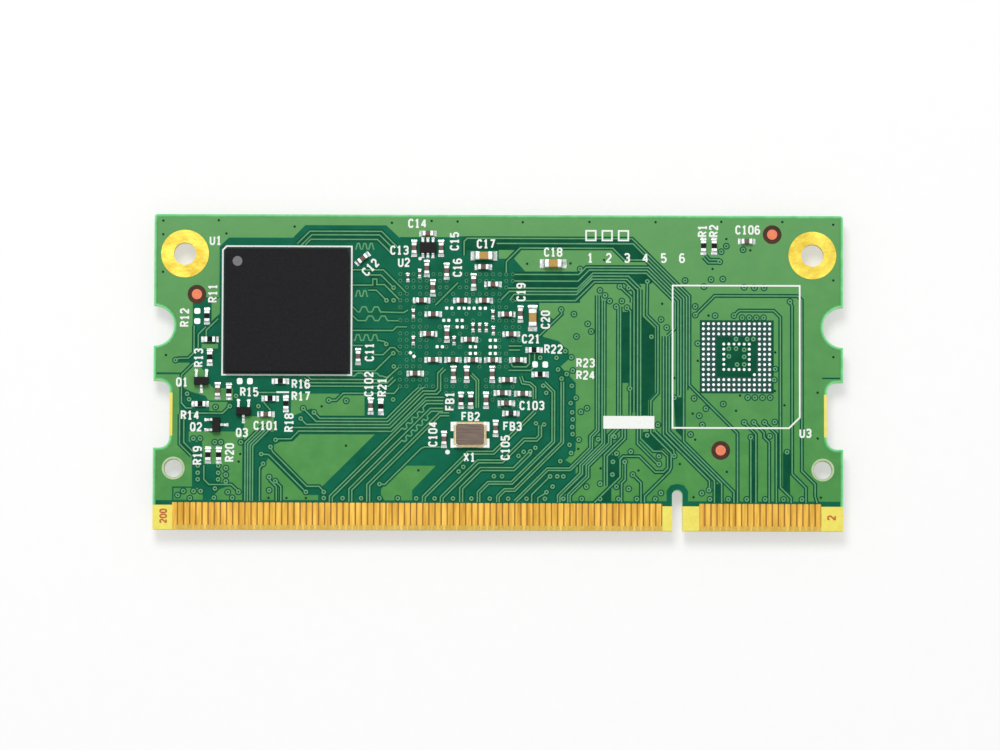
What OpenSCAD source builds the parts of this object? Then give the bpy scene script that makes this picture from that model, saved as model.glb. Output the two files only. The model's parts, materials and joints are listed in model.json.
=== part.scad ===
// Compute module on a small-outline card: a laminate board with a keyed contact edge,
// memory and decoupling parts on its upper face, processor and supply parts on its lower face.
// All sizes are in millimetres. X runs along the contact edge, Y from the contact edge to the
// far edge, and Z = 0 is the lowest face of the tallest part under the board.

/* [Board] */
// Length of the board along the contact edge
board_w = 67.6; // [65:0.1:76]
// Height of the board from the contact edge to the far edge
board_h = 31; // [30:0.1:40]
// Thickness of the laminate
board_t = 1; // [0.8:0.1:1.6]
// Radius of the four outer corners
corner_r = 0.3; // [0.1:0.05:0.6]
// Thickness of the copper that stands on the laminate
copper_t = 0.04; // [0.03:0.01:0.08]

/* [Side notches] */
// Radius of the half-round latch notch in each side
latch_r = 2; // [1.5:0.1:2.2]
// Height of the latch notch above the contact edge
latch_y = 20; // [19:0.1:21]
// Length of the relief notch in each side
relief_len = 6.6; // [4:0.1:7]
// Depth of the relief notch
relief_depth = 1.6; // [1:0.1:2]
// Radius in the inner corners of the relief notch
relief_r = 1; // [0.5:0.05:1]
// Height of the middle of the relief notch above the contact edge
relief_y = 11.3; // [10.8:0.1:12]

/* [Holes] */
// Bore of the plated screw holes
screw_hole_d = 2.2; // [2:0.1:2.7]
// Diameter of the gilt ring round each screw hole
screw_pad_d = 4.7; // [4:0.1:5.6]
// Distance of the screw holes from the sides
screw_inset_x = 3; // [3:0.1:3.4]
// Distance of the screw holes from the far edge
screw_inset_y = 3.9; // [3.2:0.1:4.5]
// Wall of the plated barrel in each screw hole
plating_t = 0.05; // [0.03:0.01:0.1]
// Bore of the locating holes
peg_hole_d = 1.8; // [1.5:0.1:2.2]
// Distance of the locating holes from the sides
peg_inset_x = 2; // [1.8:0.1:2.6]
// Height of the locating holes above the contact edge
peg_y = 6; // [5.6:0.1:6.4]

/* [Contact edge] */
// Pitch of the contacts on one face
contact_pitch = 0.6; // [0.5:0.05:0.8]
// Width of a contact
contact_w = 0.45; // [0.3:0.01:0.45]
// Length of a contact
contact_len = 2.2; // [1.6:0.1:2.4]
// Distance of the contacts from the edge
contact_inset = 0.45; // [0.3:0.05:0.6]
// Width of the plating stub that joins a contact to the edge
stub_w = 0.2; // [0.12:0.01:0.26]
// Distance of the outermost contact from the end of the board
contact_first = 2.15; // [1.8:0.05:2.6]
// Contacts between the key and the near end, on each face
short_count = 20; // [16:1:24]
// Width of the key slot
key_w = 1; // [0.8:0.1:1.2]
// Depth of the key slot
key_depth = 4; // [3.4:0.1:4.4]

/* [Memory package] */
// Side of the square memory package
memory_w = 12; // [10:0.1:12.6]
// Pitch of its balls
memory_pitch = 0.5; // [0.45:0.05:0.8]
// Diameter of a ball at its waist
memory_ball_d = 0.32; // [0.24:0.01:0.36]
// Height of the soldered balls
memory_standoff = 0.22; // [0.15:0.01:0.3]
// Thickness of the package's laminate
memory_sub_t = 0.24; // [0.16:0.02:0.36]
// Thickness of the package's moulding
memory_mould_t = 0.5; // [0.4:0.05:0.7]
// Distance of the outer balls from the rim
memory_margin = 0.5; // [0.4:0.05:0.8]
// Diameter of the corner mark
memory_mark_d = 1; // [0.6:0.1:1.4]
// Depth of the corner mark
memory_mark_t = 0.02; // [0.01:0.01:0.06]
// Distance of the corner mark's middle from the rim
memory_mark_in = 1.2; // [0.8:0.1:2]

/* [Processor package] */
// Side of the square processor package
proc_w = 14; // [12:0.1:14.4]
// Pitch of its balls
proc_pitch = 0.65; // [0.6:0.05:0.8]
// Diameter of a ball at its waist
proc_ball_d = 0.38; // [0.3:0.01:0.42]
// Height of the soldered balls
proc_standoff = 0.25; // [0.2:0.01:0.35]
// Thickness of the package's laminate
proc_sub_t = 0.3; // [0.2:0.02:0.4]
// Thickness of the package's moulding
proc_mould_t = 0.65; // [0.5:0.05:0.9]
// Distance of the outer balls from the rim
proc_margin = 0.8; // [0.6:0.05:1]

/* [Crystal] */
// Length of the crystal's case
crystal_l = 3.2; // [2.8:0.1:3.5]
// Width of the crystal's case
crystal_w = 2.5; // [2:0.1:2.6]
// Height of the crystal's ceramic base
crystal_base_t = 0.46; // [0.35:0.01:0.6]
// Height of the seal ring
crystal_ring_t = 0.1; // [0.06:0.01:0.16]
// Thickness of the lid
crystal_lid_t = 0.1; // [0.06:0.01:0.16]
// Radius of the round cut in each corner of the base
crystal_cut_r = 0.32; // [0.2:0.01:0.4]
// Distance of the seal ring from the rim of the base
crystal_rim = 0.15; // [0.1:0.01:0.2]
// Width of the seal ring
crystal_ring_w = 0.3; // [0.2:0.01:0.4]
// Distance of the lid from the rim of the seal ring
crystal_lid_in = 0.07; // [0.04:0.01:0.12]
// Radius of the corners of the seal ring
crystal_ring_r = 0.3; // [0.2:0.01:0.4]
// Overhang of the pads past the base's ends
crystal_pad_out = 0.3; // [0.1:0.01:0.32]
// Overhang of the pads past the base's sides
crystal_pad_side = 0.02; // [0.02:0.01:0.15]

/* [Chip parts] */
// Length of the common chip parts
chip_l = 1; // [0.9:0.02:1.1]
// Width of the common chip parts
chip_w = 0.5; // [0.44:0.02:0.56]
// Height of the common capacitors and beads
chip_h = 0.5; // [0.4:0.02:0.6]
// Height of the resistors
resistor_h = 0.35; // [0.3:0.01:0.4]
// Length of the end caps of the common chip parts
chip_band = 0.25; // [0.18:0.01:0.32]
// Length of the large capacitors
large_l = 1.6; // [1.4:0.05:1.7]
// Width of the large capacitors
large_w = 0.8; // [0.7:0.05:0.9]
// Height of the large capacitors
large_h = 0.8; // [0.6:0.05:0.9]
// Length of the end caps of the large capacitors
large_band = 0.35; // [0.25:0.01:0.45]
// Length of the small capacitors
small_l = 0.6; // [0.54:0.01:0.66]
// Width of the small capacitors
small_w = 0.3; // [0.26:0.01:0.34]
// Height of the small capacitors
small_h = 0.3; // [0.24:0.01:0.34]
// Length of the end caps of the small capacitors
small_band = 0.15; // [0.1:0.01:0.18]
// Thickness of an end cap's metal
cap_t = 0.03; // [0.02:0.005:0.05]
// Reach of the solder past a common chip part
solder_reach = 0.35; // [0.25:0.01:0.4]
// Reach of the solder past a large capacitor
large_reach = 0.5; // [0.35:0.01:0.55]
// Reach of the solder past a small capacitor
small_reach = 0.16; // [0.1:0.01:0.18]
// Thickness of the solder at the toe of a joint
toe_t = 0.05; // [0.04:0.01:0.08]

/* [Leaded chips] */
// Length of a transistor's body
transistor_l = 1.4; // [1.3:0.05:1.7]
// Width of a transistor's body
transistor_w = 0.8; // [0.7:0.05:0.9]
// Height of a transistor's body
transistor_h = 0.7; // [0.55:0.05:0.85]
// Distance between the two leads on one side of a transistor
transistor_pitch = 1; // [0.9:0.05:1.1]
// Length of the supply chip's body
supply_l = 1.6; // [1.5:0.05:1.7]
// Width of the supply chip's body
supply_w = 1.1; // [1:0.05:1.2]
// Height of the supply chip's body
supply_h = 0.55; // [0.5:0.05:0.7]
// Pitch of the supply chip's leads
supply_pitch = 0.5; // [0.45:0.01:0.55]
// Width of a lead
lead_w = 0.24; // [0.18:0.01:0.3]
// Thickness of a lead
lead_t = 0.1; // [0.08:0.01:0.12]
// Reach of the supply chip's leads past its body
supply_reach = 0.34; // [0.34:0.01:0.42]
// Reach of a transistor's leads past its body
transistor_reach = 0.56; // [0.4:0.01:0.6]
// Clear space under a moulded body
body_lift = 0.04; // [0.02:0.01:0.06]

/* [Supply parts under the board] */
// Length of an inductor
inductor_l = 2.5; // [2:0.1:2.7]
// Width of an inductor
inductor_w = 2; // [1.6:0.1:2.2]
// Height of an inductor
inductor_h = 1.2; // [0.9:0.05:1.2]
// Radius of the upright corners of an inductor
inductor_r = 0.15; // [0.1:0.01:0.3]
// Thickness of an inductor's terminal strip
strip_t = 0.12; // [0.08:0.01:0.16]
// Side of the square regulator
regulator_w = 3; // [2.6:0.1:3.2]
// Height of the regulator
regulator_h = 0.75; // [0.6:0.05:0.9]
// Pitch of the regulator's lands
regulator_pitch = 0.5; // [0.45:0.01:0.55]
// Length of a regulator land
regulator_land_l = 0.4; // [0.3:0.01:0.45]
// Thickness of a regulator land
regulator_land_t = 0.2; // [0.12:0.01:0.25]

/* [Vacant footprints] */
// Pitch of the lands of the vacant ball-grid footprint
land_pitch = 0.5; // [0.45:0.01:0.55]
// Diameter of a land
land_d = 0.28; // [0.2:0.01:0.32]
// Lands along each side of the footprint
land_count = 14; // [12:1:14]
// Diameter of the copper sighting marks
mark_d = 1; // [0.8:0.05:1.2]

/* [Places] */
// Distance of the processor's middle to the left of the board's middle
proc_left = 3.8; // [2:0.1:5]
// Height of the processor's middle above the contact edge
proc_up = 18.2; // [17:0.1:19]
// Distance of the memory package's middle from the left end of the board
memory_in = 13; // [12:0.1:14]
// Height of the memory package's middle above the contact edge
memory_up = 21.5; // [20:0.1:23]
// Distance of the vacant footprint's middle from the right end of the board
grid_in = 10.45; // [9:0.05:12]
// Height of the vacant footprint's middle above the contact edge
grid_up = 17.1; // [15:0.1:19]
// Distance of the crystal's middle to the right of the processor's middle
crystal_right = 1.05; // [0.8:0.05:1.3]
// Distance of the crystal's middle below the processor's middle
crystal_down = 8.85; // [8.6:0.05:9.1]
// Distance of the supply chip's middle to the left of the processor's middle
supply_left = 3.15; // [3:0.05:3.3]
// Height of the supply chip's middle above the processor's middle
supply_up = 9.55; // [9.5:0.05:9.65]
// Distance of the regulator's middle to the right of the processor's middle
regulator_right = 17.6; // [17:0.1:18.4]
// Height of the regulator's middle above the processor's middle
regulator_up = 3.8; // [3.4:0.1:4.2]
// Clear space between the processor and the row of capacitors round it
ring_gap = 1.4; // [1:0.1:1.6]
// Step along the capacitors above and below the processor
ring_step_x = 2.5; // [2.2:0.1:3]
// Step along the capacitors at the sides of the processor
ring_step_y = 3; // [2.4:0.1:3.4]
// Unit of the layout, in which the places of the chip parts are counted
layout_unit = 1; // [0.98:0.01:1.06]

/* [Hidden] */
$fn = 48;

// Heights: the tallest part under the board sets where the board lies.
proc_stack = proc_standoff + proc_sub_t + proc_mould_t;
lower_z = max(proc_stack, inductor_h);
upper_z = lower_z + board_t;
far_y = board_h / 2;
edge_y = -board_h / 2;
side_x = board_w / 2;

// Three places that the parts are laid out from: the near left corner, the near right corner
// and the middle of the processor.
left_at = [-side_x, edge_y];
right_at = [side_x, edge_y];
proc_at = [-proc_left, edge_y + proc_up];
memory_at = left_at + [memory_in, memory_up];
grid_at = right_at + [-grid_in, grid_up];
crystal_at = proc_at + [crystal_right, -crystal_down];
supply_at = proc_at + [-supply_left, supply_up];
regulator_at = proc_at + [regulator_right, regulator_up];

// Places of the parts as [x, y, turn], counted from the place that each list names.
left_capacitors = [
    [20.05, 17, 90],
    [6.3, 13.6, 90],
    [11.05, 11.3, 0],
    [21.3, 12.15, 90],
    [20.45, 26.65, 40]
];
proc_capacitors = [
    [-3.15, 10.95, 0], [-4.5, 9.5, 90], [-1.85, 9.5, 90], [-3.25, 7.5, 90],
    [-1.3, 7.25, 90], [-2.65, 5.6, 90], [-3.75, 4.35, 0], [2.3, 7.65, 0],
    [1.35, 6.2, 90], [3.25, 5.95, 0], [0.2, 4.35, 0], [2.4, 4.35, 0],
    [-2.6, 3, 0], [4.6, 3, 0], [5.95, 3.05, 90], [-1.25, 1.05, 90],
    [-3.05, 1.05, 0], [0.95, 0.5, 0], [5.05, 1.05, 0], [-2.6, -1.5, 0],
    [-0.65, -1.5, 0], [1.3, -1.5, 0], [3.25, -1.5, 0], [5.7, -1.5, 0],
    [-4.35, -2.85, 0], [-0.6, -2.9, 90], [0.7, -2.9, 90], [3.2, -2.9, 90],
    [4.7, -3.45, 0], [4.2, -4.75, 0], [6.2, -4.8, 0], [4.6, -5.75, 0],
    [2.6, -5.45, 90], [-1.5, -9.3, 90], [3.55, -8.2, 90]
];
right_capacitors = [[-9.45, 28.45, 0]];
proc_large_capacitors = [[2.35, 8.75, 0], [9.15, 8, 0], [7.15, 2.65, 90]];
proc_small_capacitors = [
    [-3.95, 7, 90], [-5.1, 6.6, 90], [-4.55, 3.05, 90], [3.25, 3, 90], [1.3, 1.7, 90],
    [1.95, 1.7, 90], [2.6, 1.7, 90], [3.3, 1.4, 90], [-0.55, 0.4, 90], [-4.55, 0.4, 90]
];
left_resistors = [
    [5.2, 20.95, 90], [5.5, 18.65, 0], [5.5, 16.9, 90], [7.4, 13.55, 90],
    [4.6, 12.3, 0], [12.45, 14.55, 0], [11.45, 12.85, 0], [13, 12.35, 90],
    [22.3, 12.1, 90], [5.4, 7.3, 90], [6.45, 7.3, 90]
];
proc_resistors = [[7.3, -0.5, 0], [7.9, -2.9, 0]];
right_resistors = [[-13.7, 28, 90], [-12.65, 28, 90]];
proc_beads = [[0.15, -5.45, 90], [1.1, -5.45, 90], [5.05, -6.75, 0]];
left_transistors = [[4.7, 14.55, 0], [8.85, 11.6, 0], [6.2, 10.25, 90]];
left_vacant_pads = [[4.25, 20.95, 90], [8.95, 14.55, 0]];
proc_vacant_pads = [[7.9, -1.92, 0]];
proc_vacant_small_pads = [
    [-1.03, 3.6, 0], [0.18, 3.6, 0], [1.15, 3.6, 0], [2.25, 3.6, 0], [-1.32, 2.4, 0],
    [-0.02, 2.4, 0], [0, 1.75, 0], [3.25, 0.45, 0], [-1.95, -0.2, 0], [1.3, -0.2, 0],
    [3.25, -0.2, 0], [1.3, -0.85, 0], [3.25, -0.85, 0], [-4.65, -0.98, 135]
];
left_marks = [[4.2, 23.1, 0]];
right_marks = [[-6.95, 29.15, 0], [-12, 7.9, 0]];

// Parts under the board, seen from above.
ring_reach = (proc_w / 2 + ring_gap) / layout_unit;
ring_x = ring_step_x / layout_unit;
ring_y = ring_step_y / layout_unit;
lower_ring = [
    for (s = [-1, 1]) for (i = [-2:2]) [i * ring_x, s * ring_reach, 0],
    for (s = [-1, 1]) for (i = [-1.5:1.5]) [s * ring_reach, i * ring_y, 90]
];
lower_large = [
    [12.8, -1.4, 0], [17.6, 0.6, 0], [17.6, 7, 0], [-10.6, 4, 90], [-10.6, 0, 90]
];
lower_inductors = [[12.8, 6.2, 0], [12.8, 2, 0]];
lower_resistor_row = [for (i = [0:5]) [9 + i * 2.2, 7, 90]];

// A rectangle with round corners, about its middle.
module rounded(w, h, r) {
    square([w - 2 * r, h], center = true);
    square([w, h - 2 * r], center = true);
    for (sx = [-1, 1])
        for (sy = [-1, 1])
            translate([sx * (w / 2 - r), sy * (h / 2 - r)])
                circle(r);
}

// A bar of rounded section along X, standing on z = 0.
module bar(l, w, h, r) {
    translate([-l / 2, 0, h / 2])
        rotate([90, 0, 90])
            linear_extrude(l)
                rounded(w, h, r);
}

// A plate about its middle, standing on z = 0.
module plate(l, w, t) {
    translate([-l / 2, -w / 2, 0])
        cube([l, w, t]);
}

// Copies of a part at the listed places on the upper face.
module on_upper(origin, places) {
    for (p = places)
        translate([origin[0] + p[0] * layout_unit, origin[1] + p[1] * layout_unit, upper_z])
            rotate(p[2])
                children();
}

// Copies of a part at the listed places on the lower face, hanging down.
module on_lower(origin, places) {
    for (p = places)
        translate([origin[0] + p[0] * layout_unit, origin[1] + p[1] * layout_unit, lower_z])
            mirror([0, 0, 1])
                rotate(p[2])
                    children();
}

// The ceramic of a chip part, inside its end caps.
module ceramic(l, w, h) {
    translate([0, 0, cap_t])
        bar(l - 2 * cap_t, w - 2 * cap_t, h - 2 * cap_t, min(w, h) * 0.1);
}

// Both end caps of a chip part, each a cup over the end of the ceramic.
module end_caps(l, w, h, band) {
    for (s = [-1, 1])
        difference() {
            translate([s * (l - band) / 2, 0, 0])
                bar(band, w, h, min(w, h) * 0.14);
            ceramic(l, w, h);
        }
}

// The alumina slab of a resistor.
module slab(l, w, h) {
    translate([0, 0, cap_t])
        plate(l - 2 * cap_t, w, h - 2 * cap_t);
}

// The glass coat on a resistor's upper face, between its end caps.
module coat(l, w, h, band) {
    translate([0, 0, h - cap_t])
        plate(l - 2 * band, w, cap_t * 1.5);
}

// Both end caps of a resistor, folded round the ends of the slab.
module folded_caps(l, w, h, band) {
    for (s = [-1, 1])
        difference() {
            translate([s * (l - band) / 2, 0, 0])
                plate(band, w, h);
            slab(l, w, h);
        }
}

// One joint of solder beyond x = 0: a hollow curve that runs out into a thin toe.
module fillet(reach, h, w) {
    r = min(reach * 0.9, h - toe_t);
    rotate([90, 0, 0])
        linear_extrude(w, center = true)
            difference() {
                square([reach, h]);
                translate([r, h])
                    circle(r);
                translate([r, toe_t])
                    square([reach, h]);
            }
}

// The joints at both ends of a chip part.
module joints(l, w, h, reach) {
    for (s = [0, 180])
        rotate(s)
            translate([l / 2, 0, 0])
                fillet(reach, h * 0.7, w * 1.12);
}

// A lead bent down from the +Y side of a body to a foot on z = 0.
module lead(half_w, h, reach) {
    z = h * 0.45;
    y = half_w;
    foot = half_w + reach;
    rotate([90, 0, 90])
        linear_extrude(lead_w, center = true)
            polygon([
                [y, z + lead_t / 2],
                [y + reach * 0.35, z + lead_t / 2],
                [y + reach * 0.6, lead_t],
                [foot, lead_t],
                [foot, 0],
                [y + reach * 0.4, 0],
                [y + reach * 0.15, z - lead_t / 2],
                [y, z - lead_t / 2]
            ]);
}

// A moulded body with drafted long sides and an upright band where the leads leave it.
module drafted_body(l, w, h) {
    z = h * 0.45;
    draft = w * 0.06;
    translate([-l / 2, 0, 0])
        rotate([90, 0, 90])
            linear_extrude(l)
                polygon([
                    [-w / 2 + draft, body_lift],
                    [w / 2 - draft, body_lift],
                    [w / 2, z - lead_t / 2],
                    [w / 2, z + lead_t / 2],
                    [w / 2 - draft, h],
                    [-w / 2 + draft, h],
                    [-w / 2, z + lead_t / 2],
                    [-w / 2, z - lead_t / 2]
                ]);
}

// A solder ball after reflow: a barrel between two flat ends.
module ball(d, h) {
    rotate_extrude()
        polygon([
            [0, 0],
            [d * 0.38, 0],
            [d * 0.48, h * 0.25],
            [d * 0.5, h * 0.5],
            [d * 0.48, h * 0.75],
            [d * 0.38, h],
            [0, h]
        ]);
}

// Depth of a place in a square grid, counted inwards from its rim.
function ring_of(i, j, n) = min(i, j, n - 1 - i, n - 1 - j);

// Number of balls along a side that leaves a margin at both ends.
function along(w, margin, pitch) = floor((w - 2 * margin) / pitch + 0.001) + 1;

// Places of a contact column along X. The lower face lies half a pitch nearer the key's end.
contact_last = floor((board_w - 2 * contact_first) / contact_pitch - 0.49);
key_at = short_count + 3;
function contact_x(i, lower) =
    side_x - contact_first - (lower ? 0 : contact_pitch / 2) - i * contact_pitch;
key_x = contact_x(key_at, false);

// One contact, flat on z = 0, with its stub out to the edge of the board.
module contact() {
    linear_extrude(copper_t)
        polygon([
            [-stub_w / 2, 0],
            [stub_w / 2, 0],
            [stub_w / 2, contact_inset],
            [contact_w / 2, contact_inset],
            [contact_w / 2, contact_inset + contact_len],
            [-contact_w / 2, contact_inset + contact_len],
            [-contact_w / 2, contact_inset],
            [-stub_w / 2, contact_inset]
        ]);
}

// The contacts of one face, without those that the key takes the place of.
module contact_row(lower) {
    for (i = [0:contact_last])
        if (i < short_count || i > key_at + 2)
            translate([contact_x(i, lower), edge_y, 0])
                contact();
}

// The outline of the board, with its notches and key slot but without the holes.
module board_outline() {
    difference() {
        rounded(board_w, board_h, corner_r);
        for (s = [-1, 1]) {
            translate([s * side_x, edge_y + latch_y])
                circle(latch_r);
            translate([s * side_x, edge_y + relief_y])
                rounded(2 * relief_depth, relief_len, relief_r);
        }
        translate([key_x, edge_y + key_depth - key_w / 2])
            circle(d = key_w);
        translate([key_x - key_w / 2, edge_y - 1])
            square([key_w, key_depth - key_w / 2 + 1]);
    }
}

module circuit_board() {
    color([0.13, 0.45, 0.24])
        translate([0, 0, lower_z])
            difference() {
                linear_extrude(board_t)
                    board_outline();
                for (s = [-1, 1]) {
                    translate([s * (side_x - screw_inset_x), far_y - screw_inset_y, -1])
                        cylinder(d = screw_hole_d + 2 * plating_t, h = board_t + 2);
                    translate([s * (side_x - peg_inset_x), edge_y + peg_y, -1])
                        cylinder(d = peg_hole_d, h = board_t + 2);
                }
            }
}

// A plated hole: a thin barrel through the board with a ring on each face.
module screw_hole_plating() {
    bore_r = screw_hole_d / 2;
    color([0.83, 0.66, 0.3])
        for (s = [-1, 1])
            translate([s * (side_x - screw_inset_x), far_y - screw_inset_y, lower_z])
                rotate_extrude()
                    polygon([
                        [bore_r, -copper_t],
                        [screw_pad_d / 2, -copper_t],
                        [screw_pad_d / 2, 0],
                        [bore_r + plating_t, 0],
                        [bore_r + plating_t, board_t],
                        [screw_pad_d / 2, board_t],
                        [screw_pad_d / 2, board_t + copper_t],
                        [bore_r, board_t + copper_t]
                    ]);
}

module edge_contacts_upper() {
    color([0.83, 0.66, 0.3])
        translate([0, 0, upper_z])
            contact_row(false);
}

module edge_contacts_lower() {
    color([0.83, 0.66, 0.3])
        translate([0, 0, lower_z - copper_t])
            contact_row(true);
}

module sighting_marks() {
    color([0.9, 0.58, 0.45]) {
        on_upper(left_at, left_marks)
            cylinder(d = mark_d, h = copper_t);
        on_upper(right_at, right_marks)
            cylinder(d = mark_d, h = copper_t);
    }
}

// The vacant storage footprint: three rings of lands, an inner ring and one index land.
module vacant_grid_lands() {
    n = land_count;
    half = (n - 1) / 2;
    color([0.85, 0.86, 0.84])
        for (i = [0:n - 1])
            for (j = [0:n - 1])
                if (ring_of(i, j, n) < 3 || ring_of(i, j, n) == 4 || (i == n - 4 && j == n - 4))
                    translate([
                        grid_at[0] + (i - half) * land_pitch,
                        grid_at[1] + (half - j) * land_pitch,
                        upper_z
                    ])
                        cylinder(d = land_d, h = copper_t);
}

// A pair of bare pads that stand a distance apart.
module pad_pair(apart, l, w) {
    for (s = [-1, 1])
        translate([s * apart / 2, 0, 0])
            linear_extrude(copper_t)
                rounded(l, w, min(l, w) * 0.3);
}

module vacant_chip_pads() {
    color([0.85, 0.86, 0.84]) {
        on_upper(left_at, left_vacant_pads)
            pad_pair(chip_l, chip_w * 1.1, chip_w * 1.2);
        on_upper(proc_at, proc_vacant_pads)
            pad_pair(chip_l, chip_w * 1.1, chip_w * 1.2);
        on_upper(proc_at, proc_vacant_small_pads)
            pad_pair(small_l * 0.85, small_w, small_w);
    }
}

// A square package moulding with a shallow round mark near one corner.
module memory_moulding() {
    mark = memory_w / 2 - memory_mark_in;
    color([0.14, 0.14, 0.15])
        translate([memory_at[0], memory_at[1], upper_z + memory_standoff + memory_sub_t])
            difference() {
                plate(memory_w, memory_w, memory_mould_t);
                translate([-mark, mark, memory_mould_t - memory_mark_t])
                    cylinder(d = memory_mark_d, h = 1);
            }
}

module memory_laminate() {
    color([0.1, 0.24, 0.15])
        translate([memory_at[0], memory_at[1], upper_z + memory_standoff])
            plate(memory_w, memory_w, memory_sub_t);
}

// Two rings of balls round the rim of the memory package.
module memory_balls() {
    n = along(memory_w, memory_margin, memory_pitch);
    half = (n - 1) / 2;
    color([0.78, 0.79, 0.8])
        for (i = [0:n - 1])
            for (j = [0:n - 1])
                if (ring_of(i, j, n) < 2)
                    translate([
                        memory_at[0] + (i - half) * memory_pitch,
                        memory_at[1] + (j - half) * memory_pitch,
                        upper_z
                    ])
                        ball(memory_ball_d, memory_standoff);
}

// Height at which the crystal's base sits on its four pads.
crystal_z = upper_z + copper_t;

module crystal_base() {
    color([0.78, 0.7, 0.55])
        translate([crystal_at[0], crystal_at[1], crystal_z])
            difference() {
                plate(crystal_l, crystal_w, crystal_base_t);
                for (sx = [-1, 1])
                    for (sy = [-1, 1])
                        translate([sx * crystal_l / 2, sy * crystal_w / 2, -1])
                            cylinder(r = crystal_cut_r, h = crystal_base_t + 2);
            }
}

// Length and width of the seal ring, which is set in from the rim of the base.
ring_l = crystal_l - 2 * crystal_rim;
ring_w = crystal_w - 2 * crystal_rim;

// The ring that the lid is welded to.
module crystal_seal_ring() {
    color([0.8, 0.68, 0.42])
        translate([crystal_at[0], crystal_at[1], crystal_z + crystal_base_t])
            linear_extrude(crystal_ring_t)
                difference() {
                    rounded(ring_l, ring_w, crystal_ring_r);
                    rounded(
                        ring_l - 2 * crystal_ring_w,
                        ring_w - 2 * crystal_ring_w,
                        crystal_ring_r / 2
                    );
                }
}

module crystal_lid() {
    color([0.5, 0.46, 0.43])
        translate([
            crystal_at[0],
            crystal_at[1],
            crystal_z + crystal_base_t + crystal_ring_t
        ])
            linear_extrude(crystal_lid_t)
                rounded(
                    ring_l - 2 * crystal_lid_in,
                    ring_w - 2 * crystal_lid_in,
                    crystal_ring_r - crystal_lid_in / 2
                );
}

// A pad under each corner of the crystal, with solder risen into the round cut.
module crystal_terminals() {
    pad_l = crystal_l * 0.36;
    pad_w = crystal_w * 0.36;
    color([0.85, 0.86, 0.84])
        for (sx = [-1, 1])
            for (sy = [-1, 1])
                translate([
                    crystal_at[0] + sx * crystal_l / 2,
                    crystal_at[1] + sy * crystal_w / 2,
                    upper_z
                ]) {
                    translate([
                        -sx * (pad_l / 2 - crystal_pad_out),
                        -sy * (pad_w / 2 - crystal_pad_side),
                        0
                    ])
                        plate(pad_l, pad_w, copper_t);
                    intersection() {
                        cylinder(r = crystal_cut_r, h = copper_t + crystal_base_t * 0.7);
                        translate([-sx, -sy, 0])
                            plate(2, 2, 2);
                    }
                }
}

module transistor_bodies() {
    color([0.12, 0.12, 0.13])
        on_upper(left_at, left_transistors)
            drafted_body(transistor_l, transistor_w, transistor_h);
}

module transistor_leads() {
    color([0.8, 0.81, 0.82])
        on_upper(left_at, left_transistors) {
            for (s = [-1, 1])
                translate([s * transistor_pitch / 2, 0, 0])
                    lead(transistor_w / 2, transistor_h, transistor_reach);
            rotate(180)
                lead(transistor_w / 2, transistor_h, transistor_reach);
        }
}

module supply_chip_body() {
    color([0.12, 0.12, 0.13])
        on_upper(supply_at, [[0, 0, 0]])
            drafted_body(supply_l, supply_w, supply_h);
}

module supply_chip_leads() {
    color([0.8, 0.81, 0.82])
        on_upper(supply_at, [[0, 0, 0], [0, 0, 180]])
            for (i = [-1:1])
                translate([i * supply_pitch, 0, 0])
                    lead(supply_w / 2, supply_h, supply_reach);
}

module capacitor_bodies() {
    color([0.62, 0.49, 0.36]) {
        on_upper(left_at, left_capacitors)
            ceramic(chip_l, chip_w, chip_h);
        on_upper(proc_at, proc_capacitors)
            ceramic(chip_l, chip_w, chip_h);
        on_upper(right_at, right_capacitors)
            ceramic(chip_l, chip_w, chip_h);
    }
}

module capacitor_end_caps() {
    color([0.82, 0.83, 0.84]) {
        on_upper(left_at, left_capacitors)
            end_caps(chip_l, chip_w, chip_h, chip_band);
        on_upper(proc_at, proc_capacitors)
            end_caps(chip_l, chip_w, chip_h, chip_band);
        on_upper(right_at, right_capacitors)
            end_caps(chip_l, chip_w, chip_h, chip_band);
    }
}

module large_capacitor_bodies() {
    color([0.74, 0.62, 0.42])
        on_upper(proc_at, proc_large_capacitors)
            ceramic(large_l, large_w, large_h);
}

module large_capacitor_end_caps() {
    color([0.82, 0.83, 0.84])
        on_upper(proc_at, proc_large_capacitors)
            end_caps(large_l, large_w, large_h, large_band);
}

module small_capacitor_bodies() {
    color([0.5, 0.4, 0.31])
        on_upper(proc_at, proc_small_capacitors)
            ceramic(small_l, small_w, small_h);
}

module small_capacitor_end_caps() {
    color([0.82, 0.83, 0.84])
        on_upper(proc_at, proc_small_capacitors)
            end_caps(small_l, small_w, small_h, small_band);
}

module resistor_slabs() {
    color([0.9, 0.9, 0.87]) {
        on_upper(left_at, left_resistors)
            slab(chip_l, chip_w, resistor_h);
        on_upper(proc_at, proc_resistors)
            slab(chip_l, chip_w, resistor_h);
        on_upper(right_at, right_resistors)
            slab(chip_l, chip_w, resistor_h);
    }
}

module resistor_coats() {
    color([0.1, 0.1, 0.11]) {
        on_upper(left_at, left_resistors)
            coat(chip_l, chip_w, resistor_h, chip_band);
        on_upper(proc_at, proc_resistors)
            coat(chip_l, chip_w, resistor_h, chip_band);
        on_upper(right_at, right_resistors)
            coat(chip_l, chip_w, resistor_h, chip_band);
    }
}

module resistor_end_caps() {
    color([0.82, 0.83, 0.84]) {
        on_upper(left_at, left_resistors)
            folded_caps(chip_l, chip_w, resistor_h, chip_band);
        on_upper(proc_at, proc_resistors)
            folded_caps(chip_l, chip_w, resistor_h, chip_band);
        on_upper(right_at, right_resistors)
            folded_caps(chip_l, chip_w, resistor_h, chip_band);
    }
}

module bead_bodies() {
    color([0.24, 0.24, 0.25])
        on_upper(proc_at, proc_beads)
            ceramic(chip_l, chip_w, chip_h);
}

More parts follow.
